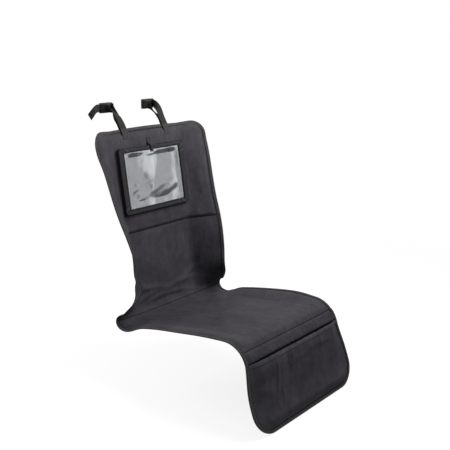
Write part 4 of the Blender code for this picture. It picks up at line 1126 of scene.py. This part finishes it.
# Studio: a plain pale floor under the flap's foot, soft lamps, and the camera at the viewing angle.
low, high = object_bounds()
floor_mesh = bpy.data.meshes.new("floor")
FLOOR_REACH = 30.0
corners = [(x * FLOOR_REACH, y * FLOOR_REACH, low.z - 0.002) for x, y in ((-1, -1), (1, -1), (1, 1), (-1, 1))]
floor_mesh.from_pydata(corners, [], [(0, 1, 2, 3)])
floor = put_object("floor", floor_mesh)
pale, tree, shader = new_finish("pale_floor", Base_Color=(0.55, 0.55, 0.55, 1), Roughness=0.9)
seen = add_node(tree, "LightPath", {}, {})[0]
ground = add_node(tree, "TexCoord", {}, {})[3]
away = add_node(tree, "VectorMath", {"operation": "LENGTH"}, {0: ground})[1]
lit = Wire(tree, shader.outputs[0])
glow, plain = [add_node(tree, "Emission", {}, {"Strength": strength})[0] for strength in (2.1, 1.0)]
near = add_node(tree, "MixShader", {}, {0: seen * 0.4, 1: lit, 2: glow})[0]
far = add_node(tree, "MixShader", {}, {0: seen * ((away - 0.8) * 0.8).clamped(), 1: near, 2: plain})[0]
set_inputs(tree, tree.nodes["Material Output"], {0: far})
floor_mesh.materials.append(pale)

world = bpy.data.worlds.new("studio")
bpy.context.scene.world = world
world.use_nodes = True
tree = world.node_tree
tree.nodes.clear()
path = add_node(tree, "LightPath", {}, {})
seen = path[0].maths("MAXIMUM", path[3]).maths("MAXIMUM", path[6])
room, white = [add_node(tree, "Background", {}, {"Color": (1, 1, 1, 1), "Strength": strength})[0]
               for strength in (0.15, 1.0)]
mixed = add_node(tree, "MixShader", {}, {0: seen, 1: room, 2: white})[0]
add_node(tree, "OutputWorld", {}, {0: mixed})


def soft_lamp(name, place, target, size, power):
    """A square lamp aimed from its place at the target."""
    lamp = bpy.data.lights.new(name, "AREA")
    lamp.shape, lamp.size, lamp.energy = "SQUARE", size, power
    made = put_object(name, lamp)
    x, y, z = np.subtract(target, place)
    made.location = place
    made.rotation_euler = (atan2(np.hypot(x, y), -z), 0, atan2(-x, y))


soft_lamp("key_lamp", (0.34, -0.38, 1.10), (0, 0.28, 0.40), 0.8, 14.5)
soft_lamp("back_lamp", (-0.9, 2.1, 1.2), (0, 0.30, 0.25), 1.2, 26)

AZIMUTH = radians(-49.81)
ELEVATION = radians(14.64)
FRAME_PIXELS = 450
LENS_PIXELS = 744.94
ANCHOR = on_cover(0.0, -0.422, FACE_HEIGHT)
ANCHOR_PIXEL = (153.3, 177.7)
DEPTH = 2.4167
back = np.array([sin(AZIMUTH) * cos(ELEVATION), -cos(AZIMUTH) * cos(ELEVATION), sin(ELEVATION)])
right = np.array([cos(AZIMUTH), sin(AZIMUTH), 0])
up = np.cross(back, right)
shift_x = (ANCHOR_PIXEL[0] - FRAME_PIXELS / 2) / LENS_PIXELS * DEPTH
shift_y = -(ANCHOR_PIXEL[1] - FRAME_PIXELS / 2) / LENS_PIXELS * DEPTH
place = ANCHOR + back * DEPTH - right * shift_x - up * shift_y
camera_data = bpy.data.cameras.new("camera")
camera_data.sensor_width = 36.0
camera_data.lens = LENS_PIXELS * 36.0 / FRAME_PIXELS
camera = put_object("camera", camera_data)
camera.location = place
camera.rotation_euler = (pi / 2 - ELEVATION, 0, AZIMUTH)
bpy.context.scene.camera = camera
bpy.context.scene.view_settings.view_transform = "Standard"
